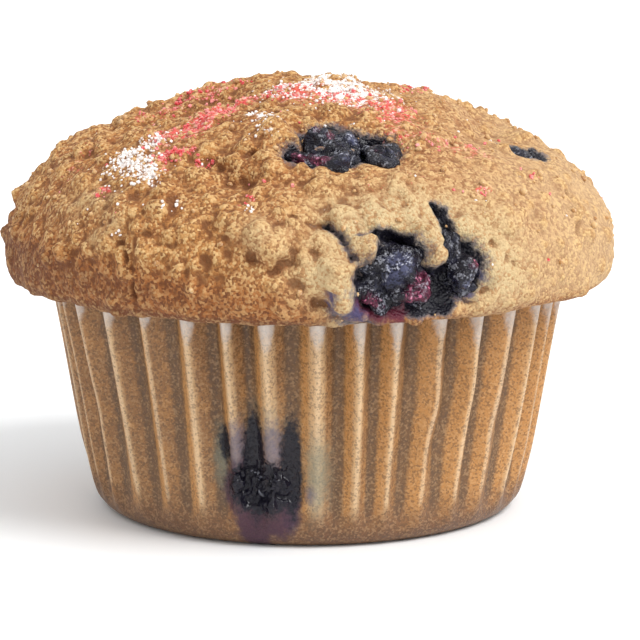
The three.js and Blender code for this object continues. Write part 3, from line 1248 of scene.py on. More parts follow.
WASHES = (
    Wash("pale", line((8, 18), (20, 20), (33, 14), (36, 8)), 5.5, 0.95),
    Wash("pale", line((3, 10), (8, 4)), 3.6, 0.9),
    Wash("pale", line((-10, 17), (-6, 14.5)), 2.2, 0.60),
    Wash("pale", line((-5, 16), (-1, 11)), 3.0, 0.35),
    Wash("pale", line((-54, 18), (-50, 21), (-44, 20.5)), 1.8, 0.38),
    Wash("pale", line((-42.5, 14), (-38.4, 17)), 1.3, 0.42),
    Wash("pale", line((135, 20), (150, 12)), 7.0, 0.7),
    Wash("inky", line((4.2, 4.6), (6.5, 3.4), (9, 2.6)), 1.3, 0.85),
    Wash("inky", line((27, 4.4), (31, 5.4), (33.2, 8)), 1.1, 0.75),
    Wash("wine", line((9, 3.0), (13, 2.0), (17.5, 1.6)), 1.3, 0.95),
    Wash("juice", line((10, 4.2), (14, 3.4), (18, 3.6)), 1.2, 0.80),
    Wash("juice", line((11.5, 12), (13, 7)), 1.7, 0.45),
    Wash("juice", line((24.5, 11.4), (25.5, 10.5)), 1.4, 0.40),
    Wash("juice", line((32.8, 11), (33.4, 7)), 2.0, 0.38),
    Wash("juice", line((-6, 36.5), (-4, 42)), 1.3, 0.35),
    Wash("juice", line((24.5, 36), (26, 42)), 1.5, 0.35),
    Wash("juice", line((72, 31), (75, 29)), 1.2, 0.50),
    Wash("white_dust", WHITE_SHOULDER, 2.2, 0.62),
    Wash("white_dust", WHITE_STREAK, 1.3, 0.75),
    Wash("white_dust", WHITE_TOP, 6.0, 0.66),
    Wash("white_dust", WHITE_CROWN, 1.5, 0.55),
    Wash("white_dust", WHITE_BACK, 3.0, 0.6),
    Wash("red_dust", RED_CLUSTER, 1.4, 0.95),
    Wash("red_dust", RED_FLECK, 0.9, 0.95),
    Wash("red_dust", RED_DOT_HIGH, 0.7, 0.95),
    Wash("red_dust", RED_DOT_LOW, 0.7, 0.9),
    Wash("red_dust", RED_DOT_MIDDLE, 0.8, 0.8),
    Wash("red_dust", RED_LEFT, 3.0, 0.84),
    Wash("red_dust", line((-72, 40), (-72, 33), (-64, 24)), 3.0, 0.34),
    Wash("red_dust", RED_TOP, 4.2, 0.70),
    Wash("red_dust", line((32, 44), (42, 40), (50, 34)), 3.0, 0.52),
    Wash("red_dust", line((39, 23), (40, 23.5)), 0.8, 0.85),
    Wash("red_dust", line((50, 35), (51, 35.5)), 0.7, 0.85),
    Wash("red_dust", line((12, 28), (24, 27), (30, 28)), 2.6, 0.28),
    Wash("red_dust", RED_BACK, 2.4, 0.55),
    Wash("red_dust", RED_BACK_RIGHT, 2.2, 0.45),
)

WALL_BERRIES = ("wall_berry_front", "wall_berry_right", "wall_berry_left")
SEATED_BERRIES = (
    "crown_berry_large",
    "crown_berry_small",
    "lip_berry_large",
    "lip_berry_small",
    "shoulder_berry",
    "back_crown_berry",
    "back_lip_berry",
)


@dataclass
class MuffinCake:
    """The cake: one baked piece with a lumpy, cracked cap and a plug that fills the liner.

    Attributes:
        node: the CAD node that it replaces.
        coarse_mm: the grid of the first, smooth body.
        coarse_rounds: how often that body is smoothed.
        fine_mm: the grid of the finished surface.
        fine_rounds: how often that surface is smoothed.
        nuggets: how many small lumps of crumb cover the cap.
        nugget_mm: the smallest and the largest of their radii.
        misshapen: how far a lump's points stray, as a share of its size.
        sunk_mm: how far the smooth body is drawn in to make room for them.
        unevenness: the sizes and strengths in millimetres of the cap's patterns.
        crack_edge_mm: the size and the reach of the wander in a crack's edge.
        wash_edge_mm: the size and the reach of the wander in a patch's edge.
        juice_beyond_mm: how far juice spreads past its crack.
        droop_mm: how far the lip hangs down outside the liner.
        droop_from_mm: the radii between which the hang begins.
        even_azimuth: where round the cap its surface is most even.
        even_reach: how many degrees that reaches to each side.
        evenness: how much less lumpy it is there.
        berry_filler: how much a berry's seat filler grows, and how many millimetres it sinks.
        sugar_filler: the same for a sugar clump's.
        plug_gap_mm: the room between the liner and the plug.
        plug_top_mm: how far under the liner's mouth the plain plug begins.
        most_faces: how many triangles the finished cake may have.
        seed: where their random places start.
        plug_rings: its rings, as pairs of a height in millimetres and a width beside the ring before.
        full_stand_mm: how far the proudest lumps stand over the deepest hollows.
        centre: the middle of the liner's mouth.
    """

    node: str = "muffin_cake"
    coarse_mm: float = 0.9
    coarse_rounds: int = 12
    fine_mm: float = 0.38
    fine_rounds: int = 3
    nuggets: int = 2300
    nugget_mm: tuple[float, float] = (0.5, 1.45)
    misshapen: float = 0.18
    sunk_mm: float = 0.72
    unevenness: tuple[tuple[float, float], ...] = ((4.5, 1.25), (1.8, 0.45), (0.7, 0.28))
    crack_edge_mm: tuple[float, float] = (1.6, 0.55)
    wash_edge_mm: tuple[float, float] = (2.4, 1.3)
    juice_beyond_mm: float = 0.55
    droop_mm: float = 0.8
    droop_from_mm: tuple[float, float] = (32.5, 35.5)
    even_azimuth: float = 78.0
    even_reach: float = 38.0
    evenness: float = 0.62
    berry_filler: tuple[float, float] = (1.08, 1.6)
    sugar_filler: tuple[float, float] = (1.5, 0.5)
    plug_gap_mm: float = 1.1
    plug_top_mm: float = 2.6
    most_faces: int = 190000
    seed: int = 7
    plug_rings: tuple[tuple[float, float], ...] = ((14.0, 0.93), (2.5, 0.93), (0.8, 0.95), (0.8, 0.5))
    full_stand_mm: float = 0.35
    centre: Vector = field(init=False)

    def build(self, frame: dict) -> bpy.types.Object:
        """Models and dresses the cake.

        Args:
            frame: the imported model's frame.

        Returns:
            The finished cake.
        """
        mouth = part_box("paper_liner")[1].z
        self.centre = Vector((0.0, 0.0, mouth))
        cake = merged_copy(frame["nodes"][self.node], "baked_cake")
        self.fill_seats(frame, cake)
        modify(cake, "REMESH", mode="VOXEL", voxel_size=self.coarse_mm * MM)
        modify(cake, "SMOOTH", factor=0.5, iterations=self.coarse_rounds)
        modify(cake, "DISPLACE", strength=-self.sunk_mm * MM, mid_level=0.0)
        smooth_cap = Surface(cake, self.centre)
        self.add_nuggets(cake, smooth_cap, mouth)
        modify(cake, "REMESH", mode="VOXEL", voxel_size=self.fine_mm * MM)
        modify(cake, "SMOOTH", factor=0.5, iterations=self.fine_rounds)
        points = points_of(cake)
        lumpy = 1.0 - self.evenness_at(azimuths_of(points))
        crown = weigh(cake, "crown", smoothstep(mouth - 1.0 * MM, mouth + 2.4 * MM, points[:, 2]) * lumpy)
        for size_mm, strength_mm in self.unevenness:
            roughen(cake, size_mm, strength_mm, group=crown)
        self.carve(cake, smooth_cap)
        self.shorten_plug(cake, mouth)
        self.paint_marks(cake, smooth_cap, mouth)
        smooth_shading(cake)
        settle(cake, "crumb", CrumbFinish().material(), (self.node,))
        return cake

    def evenness_at(self, azimuths: np.ndarray | float) -> np.ndarray | float:
        """How even the cap is round the muffin.

        Args:
            azimuths: degrees from the front, one or many.

        Returns:
            0 where the cap is as lumpy as elsewhere, up to its evenness.
        """
        return self.evenness * np.exp(-(((azimuths - self.even_azimuth) / self.even_reach) ** 2))

    def fill_seats(self, frame: dict, cake: bpy.types.Object) -> None:
        """Fills the seats of the sugar clumps and the berries, so that the cap can be carved afresh.

        Args:
            frame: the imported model's frame.
            cake: the cake's first body.
        """
        fillers = []
        for name, node in frame["nodes"].items():
            if "sugar_clump" not in name and name not in SEATED_BERRIES:
                continue
            filler = merged_copy(node, f"filler_{name}")
            points = points_of(filler)
            middle = points.mean(axis=0)
            outward = outward_from(self.centre, middle)
            grow, sink = self.berry_filler if name in SEATED_BERRIES else self.sugar_filler
            move_points(filler, middle + (points - middle) * grow - outward * sink * MM)
            fillers.append(filler)
        join_into(cake, fillers)

    def add_nuggets(self, cake: bpy.types.Object, surface: Surface, mouth: float) -> None:
        """Covers the cap in half-sunk lumps of crumb, and adds the chosen larger ones.

        Args:
            cake: the smooth body, which takes them in.
            surface: its cap.
            mouth: the height of the liner's mouth.
        """
        random = np.random.default_rng(self.seed)
        bpy.ops.object.select_all(action="DESELECT")
        bpy.ops.mesh.primitive_ico_sphere_add(subdivisions=2, radius=1.0)
        ball = newest("crumb_ball")
        places = []
        for _ in range(self.nuggets):
            spot = Spot(random.uniform(-180, 180), math.degrees(math.asin(random.uniform(0.02, 1.0))))
            point, normal = surface.at(spot)
            above = (point.z - mouth) / MM
            even = self.evenness_at(spot.azimuth)
            if above < 0.5 or random.uniform() < even:
                continue
            smallest, largest = self.nugget_mm
            radius = (smallest + (largest - smallest) * random.uniform() ** 2) * MM
            lift = random.uniform(-0.68, -0.16) - 0.20 * max(0.0, 1.0 - above / 5.0) - 0.18 * even
            places.append(self.bedded(point, normal, radius, lift, random))
        for lump in LUMPS:
            point, normal = surface.at(lump.spot)
            radius = lump.radius_mm * MM
            places.append(self.bedded(point, normal, radius, lump.lift - 0.5, random))
        crumbs = scattered("crumb_lumps", ball, places, random, self.misshapen)
        bpy.data.objects.remove(ball)
        join_into(cake, [crumbs])

    def bedded(
        self, point: Vector, normal: Vector, radius: float, lift: float, random: np.random.Generator
    ) -> Matrix:
        """The place of one lump that is bedded in the surface.

        Args:
            point: where it is on the surface.
            normal: the surface's normal there.
            radius: the lump's radius.
            lift: how far its middle is over the surface, as a share of its radius.
            random: the source of its proportions.

        Returns:
            Its place, turned and scaled.
        """
        sizes = [radius * random.uniform(0.80, 1.20) for _ in range(3)]
        turn = random_turn(random)
        stretch = Matrix.Diagonal((*sizes, 1.0))
        return Matrix.Translation(point + normal * (radius * lift)) @ turn @ stretch

    def carve(self, cake: bpy.types.Object, surface: Surface) -> None:
        """Cuts the cracks and hollows, and stores how much juice each holds.

        Args:
            cake: the cake.
            surface: its smooth cap.
        """
        points = points_of(cake)
        inward = points - np.asarray(self.centre)
        inward /= -np.linalg.norm(inward, axis=1)[:, None]
        moved = points.copy()
        strayed = wobbled(points, *self.crack_edge_mm)
        juice = np.zeros(len(points))
        for furrow in FURROWS:
            reach = distance_to(strayed, surface.along(furrow.spots))
            share = falloff(reach, furrow.half_width_mm)
            moved += inward * (share * furrow.depth_mm * MM)[:, None]
            stained = falloff(reach, furrow.half_width_mm + self.juice_beyond_mm)
            juice = np.maximum(juice, stained * furrow.juice)
        start, end = self.droop_from_mm
        overhang = smoothstep(start * MM, end * MM, np.hypot(moved[:, 0], moved[:, 1]))
        low = smoothstep(self.centre.z + 7.0 * MM, self.centre.z + 1.0 * MM, moved[:, 2])
        moved[:, 2] -= overhang * low * self.droop_mm * MM
        move_points(cake, moved)
        paint(cake, "juice", juice)

    def shorten_plug(self, cake: bpy.types.Object, mouth: float) -> None:
        """Draws the plug in from the liner, which hides it, and gives it a plain shape further down.

        Args:
            cake: the cake.
            mouth: the height of the liner's mouth.
        """
        points = points_of(cake)
        under = smoothstep(mouth - 0.8 * MM, mouth - 2.2 * MM, points[:, 2])
        radius = np.hypot(points[:, 0], points[:, 1])
        points[:, :2] *= (1.0 - under * self.plug_gap_mm * MM / np.maximum(radius, 2.0 * MM))[:, None]
        move_points(cake, points)
        cut = mouth - self.plug_top_mm * MM
        select_only(cake)
        bpy.ops.object.mode_set(mode="EDIT")
        bpy.ops.mesh.select_all(action="SELECT")
        bpy.ops.mesh.bisect(plane_co=(0.0, 0.0, cut), plane_no=(0.0, 0.0, 1.0), clear_inner=True)
        height = cut
        for lower_mm, share in self.plug_rings:
            drop = lower_mm * MM - height
            bpy.ops.mesh.extrude_region_move(TRANSFORM_OT_translate={"value": (0.0, 0.0, drop)})
            bpy.ops.transform.resize(value=(share, share, 0.0), center_override=(0.0, 0.0, lower_mm * MM))
            height = lower_mm * MM
        bpy.ops.mesh.merge(type="CENTER")
        bpy.ops.mesh.select_all(action="SELECT")
        bpy.ops.mesh.normals_make_consistent(inside=False)
        bpy.ops.object.mode_set(mode="OBJECT")
        faces = sum(len(face.vertices) - 2 for face in cake.data.polygons)
        LOG.info("the cake has %d triangles before it is thinned", faces)
        if faces > self.most_faces:
            modify(cake, "DECIMATE", decimate_type="COLLAPSE", ratio=self.most_faces / faces)

    def paint_marks(self, cake: bpy.types.Object, surface: Surface, mouth: float) -> None:
        """Stores where the crumb is proud, pale, stained and dusted, and how much browning and painted
        shade the lip gets.

        Args:
            cake: the cake.
            surface: its smooth cap.
            mouth: the height of the liner's mouth.
        """
        points = points_of(cake)
        marks: dict[str, np.ndarray] = {kind: np.zeros(len(points)) for kind in WASH_KINDS}
        stored = np.empty(len(points), dtype=np.float32)
        cake.data.attributes["juice"].data.foreach_get("value", stored)
        marks["juice"] = stored.astype(float)
        strayed = wobbled(points, *self.wash_edge_mm)
        for wash in WASHES:
            reach = distance_to(strayed, surface.along(wash.spots, step_mm=0.8))
            share = falloff(reach, wash.reach_mm) * wash.strength
            marks[wash.kind] = np.maximum(marks[wash.kind], share)
        for kind, values in marks.items():
            paint(cake, kind, values)
        paint(cake, "proud", self.proudness(cake))
        # The lip's browning is partly painted shade: it reaches higher and is stronger on the -X side, away
        # from the light, and adds most under the lip.
        side = points[:, 0] / points[:, 0].max()
        rim_top = mouth + (4.5 - 4.0 * side) * MM
        browned = smoothstep(0.0, 1.0, (rim_top - points[:, 2]) / (5.5 * MM) + 0.45)
        browned = browned * (0.85 - 0.30 * side)
        edge = smoothstep(mouth + 1.3 * MM, mouth - 0.3 * MM, points[:, 2])
        paint(cake, "browned", browned + edge * (0.45 - 0.15 * side))

    def proudness(self, cake: bpy.types.Object, rounds: int = 10) -> np.ndarray:
        """How far each point stands out from its surroundings.

        Args:
            cake: the cake.
            rounds: how widely the surroundings are averaged.

        Returns:
            0 in a hollow, about 0.5 on even ground and 1 on a lump, per point.
        """
        edges = np.empty(len(cake.data.edges) * 2, dtype=np.int64)
        cake.data.edges.foreach_get("vertices", edges)
        first, second = edges[0::2], edges[1::2]
        points = points_of(cake)
        count = np.bincount(edges, minlength=len(points))[:, None]
        smooth = points.copy()
        for _ in range(rounds):
            total = np.zeros_like(smooth)
            for axis in range(3):
                total[:, axis] = np.bincount(first, smooth[second, axis], len(points))
                total[:, axis] += np.bincount(second, smooth[first, axis], len(points))
            smooth = 0.5 * smooth + 0.5 * total / count
        stand = np.einsum("ij,ij->i", points - smooth, normals_of(cake))
        return np.clip(0.5 + stand / (self.full_stand_mm * MM), 0.0, 1.0)


# ---------------------------------------------------------------- the liner


@dataclass(frozen=True)
class Kink:
    """A place where one pleat has been pushed sideways.

    Attributes:
        azimuth: where it is round the liner, in degrees.
        height: how far up the wall it is, from 0 to 1.
        push: how far it is pushed round, in degrees.
        wide: how many degrees it fades over.
        tall: how much of the height it fades over.
    """

    azimuth: float
    height: float
    push: float
    wide: float = 3.6
    tall: float = 0.11


@dataclass(frozen=True)
class Blot:
    """A patch where berry juice shows through the paper.

    Attributes:
        kind: the attribute that it paints.
        azimuth: degrees round the liner from the berry's middle.
        height_mm: how far over the berry's middle it is.
        wide: how many degrees it reaches to each side.
        tall_mm: how far it reaches up and down.
        strength: how strong it is in the middle.
    """

    kind: str
    azimuth: float
    height_mm: float
    wide: float
    tall_mm: float
    strength: float = 1.0


def middle_of(node: str) -> Vector:
    """The middle of a CAD node's box."""
    low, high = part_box(node)
    return (low + high) / 2


BLOT_KINDS = ("navy", "purple", "lavender", "halo")

BLOTS = (
    Blot("navy", -2.3, 1.2, 2.8, 6.6, 1.05),
    Blot("navy", 6.8, 0.8, 2.7, 6.4, 1.00),
    Blot("navy", -9.7, 3.5, 2.3, 3.0, 0.70),
    Blot("navy", -0.3, -1.6, 8.6, 3.2, 1.25),
    Blot("purple", -2.6, -5.2, 4.6, 5.0, 1.05),
    Blot("purple", 3.4, -3.8, 5.6, 4.4, 0.95),
    Blot("purple", -6.8, -2.0, 4.2, 3.6, 0.90),
    Blot("lavender", -6.2, 2.6, 3.2, 4.8, 0.85),
    Blot("lavender", 2.6, 2.8, 3.2, 4.8, 0.85),
    Blot("lavender", 6.4, -5.2, 2.6, 2.4, 0.70),
    Blot("lavender", 11.4, -2.4, 1.8, 1.6, 0.60),
    Blot("halo", 13.3, 0.3, 4.0, 6.0, 0.75),
    Blot("halo", -10.8, 1.5, 2.6, 5.0, 0.70),
    Blot("halo", 1.0, 6.0, 9.0, 5.0, 0.40),
)


@dataclass
class PaperLiner:
    """The pleated paper liner.

    Attributes:
        node: the CAD node that it replaces.
        pleats: how many pleats it has.
        base_mm: the wall's radius at the floor, halfway up the pleats.
        mouth_mm: the wall's radius at the mouth, halfway up the pleats.
        foot_mm: the radius of the bend from the base to the wall.
        depth_mm: from crest to valley, at the foot and at the mouth.
        paper_mm: how thick the paper is.
        points_per_pleat: how finely each pleat is divided.
        rows: how finely the wall is divided.
        fold_sharpness: how much narrower the crests are than the valleys.
        sway: how many degrees the pleats wander.
        ripple_mm: how far the wall strays in and out.
        wrinkles: the sizes and strengths in millimetres of the creases in the soaked paper.
        seed: where its random places start.
        kinks: where pleats have been pushed sideways.
    """

    node: str = "paper_liner"
    pleats: int = 36
    base_mm: float = 26.0
    mouth_mm: float = 30.7
    foot_mm: float = 2.4
    depth_mm: tuple[float, float] = (0.45, 2.5)
    paper_mm: float = 0.12
    points_per_pleat: int = 16
    rows: int = 46
    fold_sharpness: float = 1.35
    sway: float = 0.55
    ripple_mm: float = 0.10
    wrinkles: tuple[tuple[float, float], ...] = ((2.2, 2.0), (0.9, 0.7))
    seed: int = 21
    kinks: tuple[Kink, ...] = (
        Kink(29.0, 0.62, -1.0),
        Kink(33.0, 0.40, 1.2),
        Kink(38.0, 0.66, -0.9),
        Kink(48.0, 0.45, 0.8),
        Kink(-60.0, 0.5, -0.8),
        Kink(110.0, 0.6, 1.2),
        Kink(160.0, 0.4, -1.2),
        Kink(-150.0, 0.55, 1.1),
        Kink(-110.0, 0.7, -1.0),
        Kink(-31.0, 0.5, -3.2, wide=21.0, tall=4.0),
    )

    def build(self) -> bpy.types.Object:
        """Models and dresses the liner.

        Returns:
            The finished liner.
        """
        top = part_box(self.node)[1].z
        cup = self.plain_cup(top)
        self.refine(cup)
        self.pleat(cup, top)
        modify(cup, "SOLIDIFY", thickness=self.paper_mm * MM, offset=-1.0)
        smooth_shading(cup)
        settle(cup, "paper", PaperFinish().material(), (self.node,))
        return cup

    def outline(self, top: float) -> list[tuple[float, float]]:
        """The wall's outline, from the flat base up to the mouth.

        Args:
            top: the height of the mouth.

        Returns:
            Pairs of radius and height.
        """
        foot = self.foot_mm * MM
        base = self.base_mm * MM
        slope = (self.mouth_mm - self.base_mm) * MM / top
        rings = [(base * share, 0.0) for share in (0.25, 0.5, 0.7, 0.82)]
        for turn in np.linspace(0.0, 0.5 * math.pi, 8):
            height = foot * (1.0 - math.cos(turn))
            rings.append((base + slope * height - foot * (1.0 - math.sin(turn)), height))
        for share in np.linspace(0.0, 1.0, self.rows)[1:]:
            height = foot + (top - foot) * share
            rings.append((base + slope * height, height))
        return rings

    def plain_cup(self, top: float) -> bpy.types.Object:
        """A smooth cup, extruded ring by ring.

        Args:
            top: the height of the mouth.

        Returns:
            The cup.
        """
        rings = self.outline(top)
        columns = self.pleats * self.points_per_pleat
        bpy.ops.object.select_all(action="DESELECT")
        bpy.ops.mesh.primitive_circle_add(vertices=columns, radius=rings[0][0], fill_type="TRIFAN")
        cup = newest("pleated_liner")
        bpy.ops.object.mode_set(mode="EDIT")
        bpy.ops.mesh.select_all(action="SELECT")
        bpy.ops.mesh.flip_normals()
        bpy.ops.mesh.region_to_loop()
        for (radius, height), (wider, higher) in zip(rings, rings[1:]):
            growth = wider / radius
            bpy.ops.mesh.extrude_region_move(TRANSFORM_OT_translate={"value": (0.0, 0.0, higher - height)})
            bpy.ops.transform.resize(value=(growth, growth, 1.0), center_override=(0.0, 0.0, higher))
        bpy.ops.mesh.select_all(action="SELECT")
        bpy.ops.mesh.normals_make_consistent(inside=False)
        bpy.ops.object.mode_set(mode="OBJECT")
        return cup

    def refine(self, cup: bpy.types.Object) -> None:
        """Divides the wall more finely over each berry in it, where the paper is wrinkled.

        Args:
            cup: the smooth cup.
        """
        select_only(cup)
        points = points_of(cup)
        azimuth = azimuths_of(points)
        chosen = np.zeros(len(points), dtype=bool)
        for node in WALL_BERRIES:
            middle = middle_of(node)
            across = np.abs(degrees_past(azimuth, azimuth_of(middle)))
            climb = np.abs(points[:, 2] - middle.z + 1.2 * MM)
            chosen |= (across < 10.0) & (climb < 4.2 * MM)
        bpy.ops.object.mode_set(mode="EDIT")
        bpy.ops.mesh.select_all(action="DESELECT")
        bpy.ops.object.mode_set(mode="OBJECT")
        cup.data.vertices.foreach_set("select", chosen)
        bpy.ops.object.mode_set(mode="EDIT")
        bpy.ops.mesh.select_mode(type="VERT")
        bpy.ops.mesh.subdivide(number_cuts=2)
        bpy.ops.object.mode_set(mode="OBJECT")

    def pleat(self, cup: bpy.types.Object, top: float) -> None:
        """Folds the wall into uneven pleats, and stores what the finish reads.

        Args:
            cup: the smooth cup.
            top: the height of the mouth.
        """
        random = np.random.default_rng(self.seed)
        points = points_of(cup)
        radius = np.hypot(points[:, 0], points[:, 1])
        azimuth = azimuths_of(points)
        height = np.clip(points[:, 2] / top, 0.0, 1.0)
        shifted = azimuth.copy()
        for waves in (3, 5, 8, 13):
            phase, lean = random.uniform(0, RANDOM_TURN, 2)
            climb = 1.6 * height * math.sin(lean)
            shifted += self.sway * np.sin(np.radians(azimuth * waves) + phase + climb)
        for kink in self.kinks:
            around = degrees_past(azimuth, kink.azimuth)
            near = np.exp(-((around / kink.wide) ** 2) - ((height - kink.height) / kink.tall) ** 2)
            shifted += kink.push * near
        turn = np.radians(shifted) * self.pleats
        fold = 2.0 * (0.5 + 0.5 * np.cos(turn)) ** self.fold_sharpness - 1.0
        index = np.round(shifted / (360 / self.pleats)).astype(int) % self.pleats
        uneven = random.uniform(0.85, 1.12, self.pleats)[index]
        above = np.clip((points[:, 2] - 2.0 * MM) / (top - 2.0 * MM), 0.0, 1.0)
        shallow, deep = self.depth_mm
        depth = shallow + (deep - shallow) * above**0.75
        depth = depth * smoothstep(0.3 * MM, 4.0 * MM, points[:, 2]) * uneven
        ripple = np.zeros(len(points))
        for waves in (2, 7, 17):
            phase, lean = random.uniform(0, RANDOM_TURN, 2)
            ripple += self.ripple_mm * np.sin(np.radians(azimuth * waves) + phase + lean * height * 2)
        push = (0.5 * depth * fold + ripple * smoothstep(0.1, 0.3, height)) * MM
        scale = (radius + push) / np.maximum(radius, TINY)
        points[:, :2] *= scale[:, None]
        move_points(cup, points)
        crest = np.cos(turn)
        folded = smoothstep(0.02, 0.2, height)
        paint(cup, "crest", 0.5 + 0.5 * crest * folded)
        paint(cup, "flank", np.sin(turn) * folded)
        paint(cup, "height", height)
        # The pale fronts of the pleats, partly a painted highlight, are broadest at the front of the liner.
        frontal = np.exp(-(((azimuth + 4.0) / 24.0) ** 2))
        broad = np.maximum(frontal, random.uniform(0.0, 0.6, self.pleats)[index])
        starts = 0.80 - 0.80 * broad
        paint(cup, "strip", smoothstep(starts, starts + 0.75, crest) * smoothstep(0.04, 0.2, height))
        around = np.radians(azimuth)
        uneven_reach = 0.05 * random.uniform(-1, 1, self.pleats)[index]
        reach = 0.26 + 0.05 * np.sin(around) - 0.05 * np.cos(around) + uneven_reach
        open_paper = smoothstep(0.0, 1.0, (height - (1.0 - reach)) / reach)
        narrow = 0.98 - 0.75 * open_paper
        paint(cup, "dry", open_paper**0.8 * smoothstep(narrow, narrow + 0.35, crest) * 1.05)
        self.stain(cup, points, azimuth)

    def stain(self, cup: bpy.types.Object, points: np.ndarray, azimuth: np.ndarray) -> None:
        """Stores the juice marks over each berry in the wall, and wrinkles the soaked paper there.

        Args:
            cup: the pleated cup.
            points: its points.
            azimuth: each point's azimuth in degrees.
        """
        marks = {kind: np.zeros(len(points)) for kind in BLOT_KINDS}
        soaked = np.zeros(len(points))
        for node, mirrored in zip(WALL_BERRIES, (1, -1, 1)):
            middle = middle_of(node)
            across = degrees_past(azimuth, azimuth_of(middle)) * mirrored
            climb = points[:, 2] / MM - middle.z / MM
            for blot in BLOTS:
                sideways = (across - blot.azimuth) / blot.wide
                upward = (climb - blot.height_mm) / blot.tall_mm
                share = blot.strength * np.exp(-(np.hypot(sideways, upward) ** 2.4))
                marks[blot.kind] = np.maximum(marks[blot.kind], share)
            soaked = np.maximum(soaked, np.exp(-(((across + 0.3) / 7.6) ** 4) - ((climb + 1.4) / 2.6) ** 4))
        for kind, values in marks.items():
            paint(cup, kind, values)
        group = weigh(cup, "soaked", soaked)
        for size_mm, strength_mm in self.wrinkles:
            roughen(cup, size_mm, strength_mm, group=group, creased=True)
        points = points_of(cup)
        points[:, 2] = np.maximum(points[:, 2], 0.0)
        move_points(cup, points)


# ---------------------------------------------------------------- berries


@dataclass(frozen=True)
class Lobe:
    """A bulge or a dent of a berry's skin, with its own colour.

    Attributes:
        spot: where it is.
        radius_mm: how far it reaches.
        rise_mm: how far it stands out, or how deep it is where negative.
        bloom: how much pale bloom it adds.
        pulp: how much wine-red pulp it adds.
    """

    spot: Spot
    radius_mm: float
    rise_mm: float
    bloom: float = 0.0
    pulp: float = 0.0


@dataclass(frozen=True)
class BurstBerry:
    """One baked berry, slumped and wrinkled, in the place of its CAD node.

    Attributes:
        node: the CAD node that it replaces.
        sunk_mm: how far it has sunk into its seat.
        wrinkle_mm: how deep its wrinkles are.
        pulp: how much wine-red pulp shows.
        bloom: how much pale bloom it has.
        grow: how large it is beside its node.
        lobes: its bulges and dents.
        grid_mm: the grid of its surface.
    """

    node: str
    sunk_mm: float = 0.8
    wrinkle_mm: float = 1.2
    pulp: float = 0.10
    bloom: float = 0.15
    grow: float = 1.0
    lobes: tuple[Lobe, ...] = ()
    grid_mm: float = 0.26

    def build(self, frame: dict, centre: Vector, finish: bpy.types.Material) -> bpy.types.Object:
        """Models and dresses the berry.

        Args:
            frame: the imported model's frame.
            centre: where spots are seen from.
            finish: the berries' material.

        Returns:
            The finished berry.
        """
        berry = merged_copy(frame["nodes"][self.node], f"burst_{self.node}")
        points = points_of(berry)
        middle = points.mean(axis=0)
        outward = outward_from(centre, middle)
        move_points(berry, middle + (points - middle) * self.grow - outward * self.sunk_mm * MM)
        modify(berry, "REMESH", mode="VOXEL", voxel_size=self.grid_mm * MM)
        modify(berry, "SMOOTH", factor=0.5, iterations=6)
        roughen(berry, 3.4, self.wrinkle_mm * 1.5, depth=0, creased=True)
        roughen(berry, 1.5, self.wrinkle_mm * 0.50, depth=1, creased=True)
        modify(berry, "SMOOTH", factor=0.5, iterations=1)
        surface = Surface(berry, centre)
        points = points_of(berry)
        moved = points.copy()
        bloom = np.full(len(points), self.bloom)
        pulp = np.full(len(points), self.pulp)
        for lobe in self.lobes:
            reach = np.linalg.norm(points - np.asarray(surface.at(lobe.spot)[0]), axis=1)
            share = falloff(reach, lobe.radius_mm)
            moved += outward * (share * lobe.rise_mm * MM)[:, None]
            bloom += share * lobe.bloom
            pulp += share * lobe.pulp
        move_points(berry, moved)
        paint(berry, "pulp", np.clip(pulp, 0.0, 1.0))
        paint(berry, "bloom", np.clip(bloom, 0.0, 1.0))
        smooth_shading(berry)
        settle(berry, "berry", finish, (self.node,))
        return berry


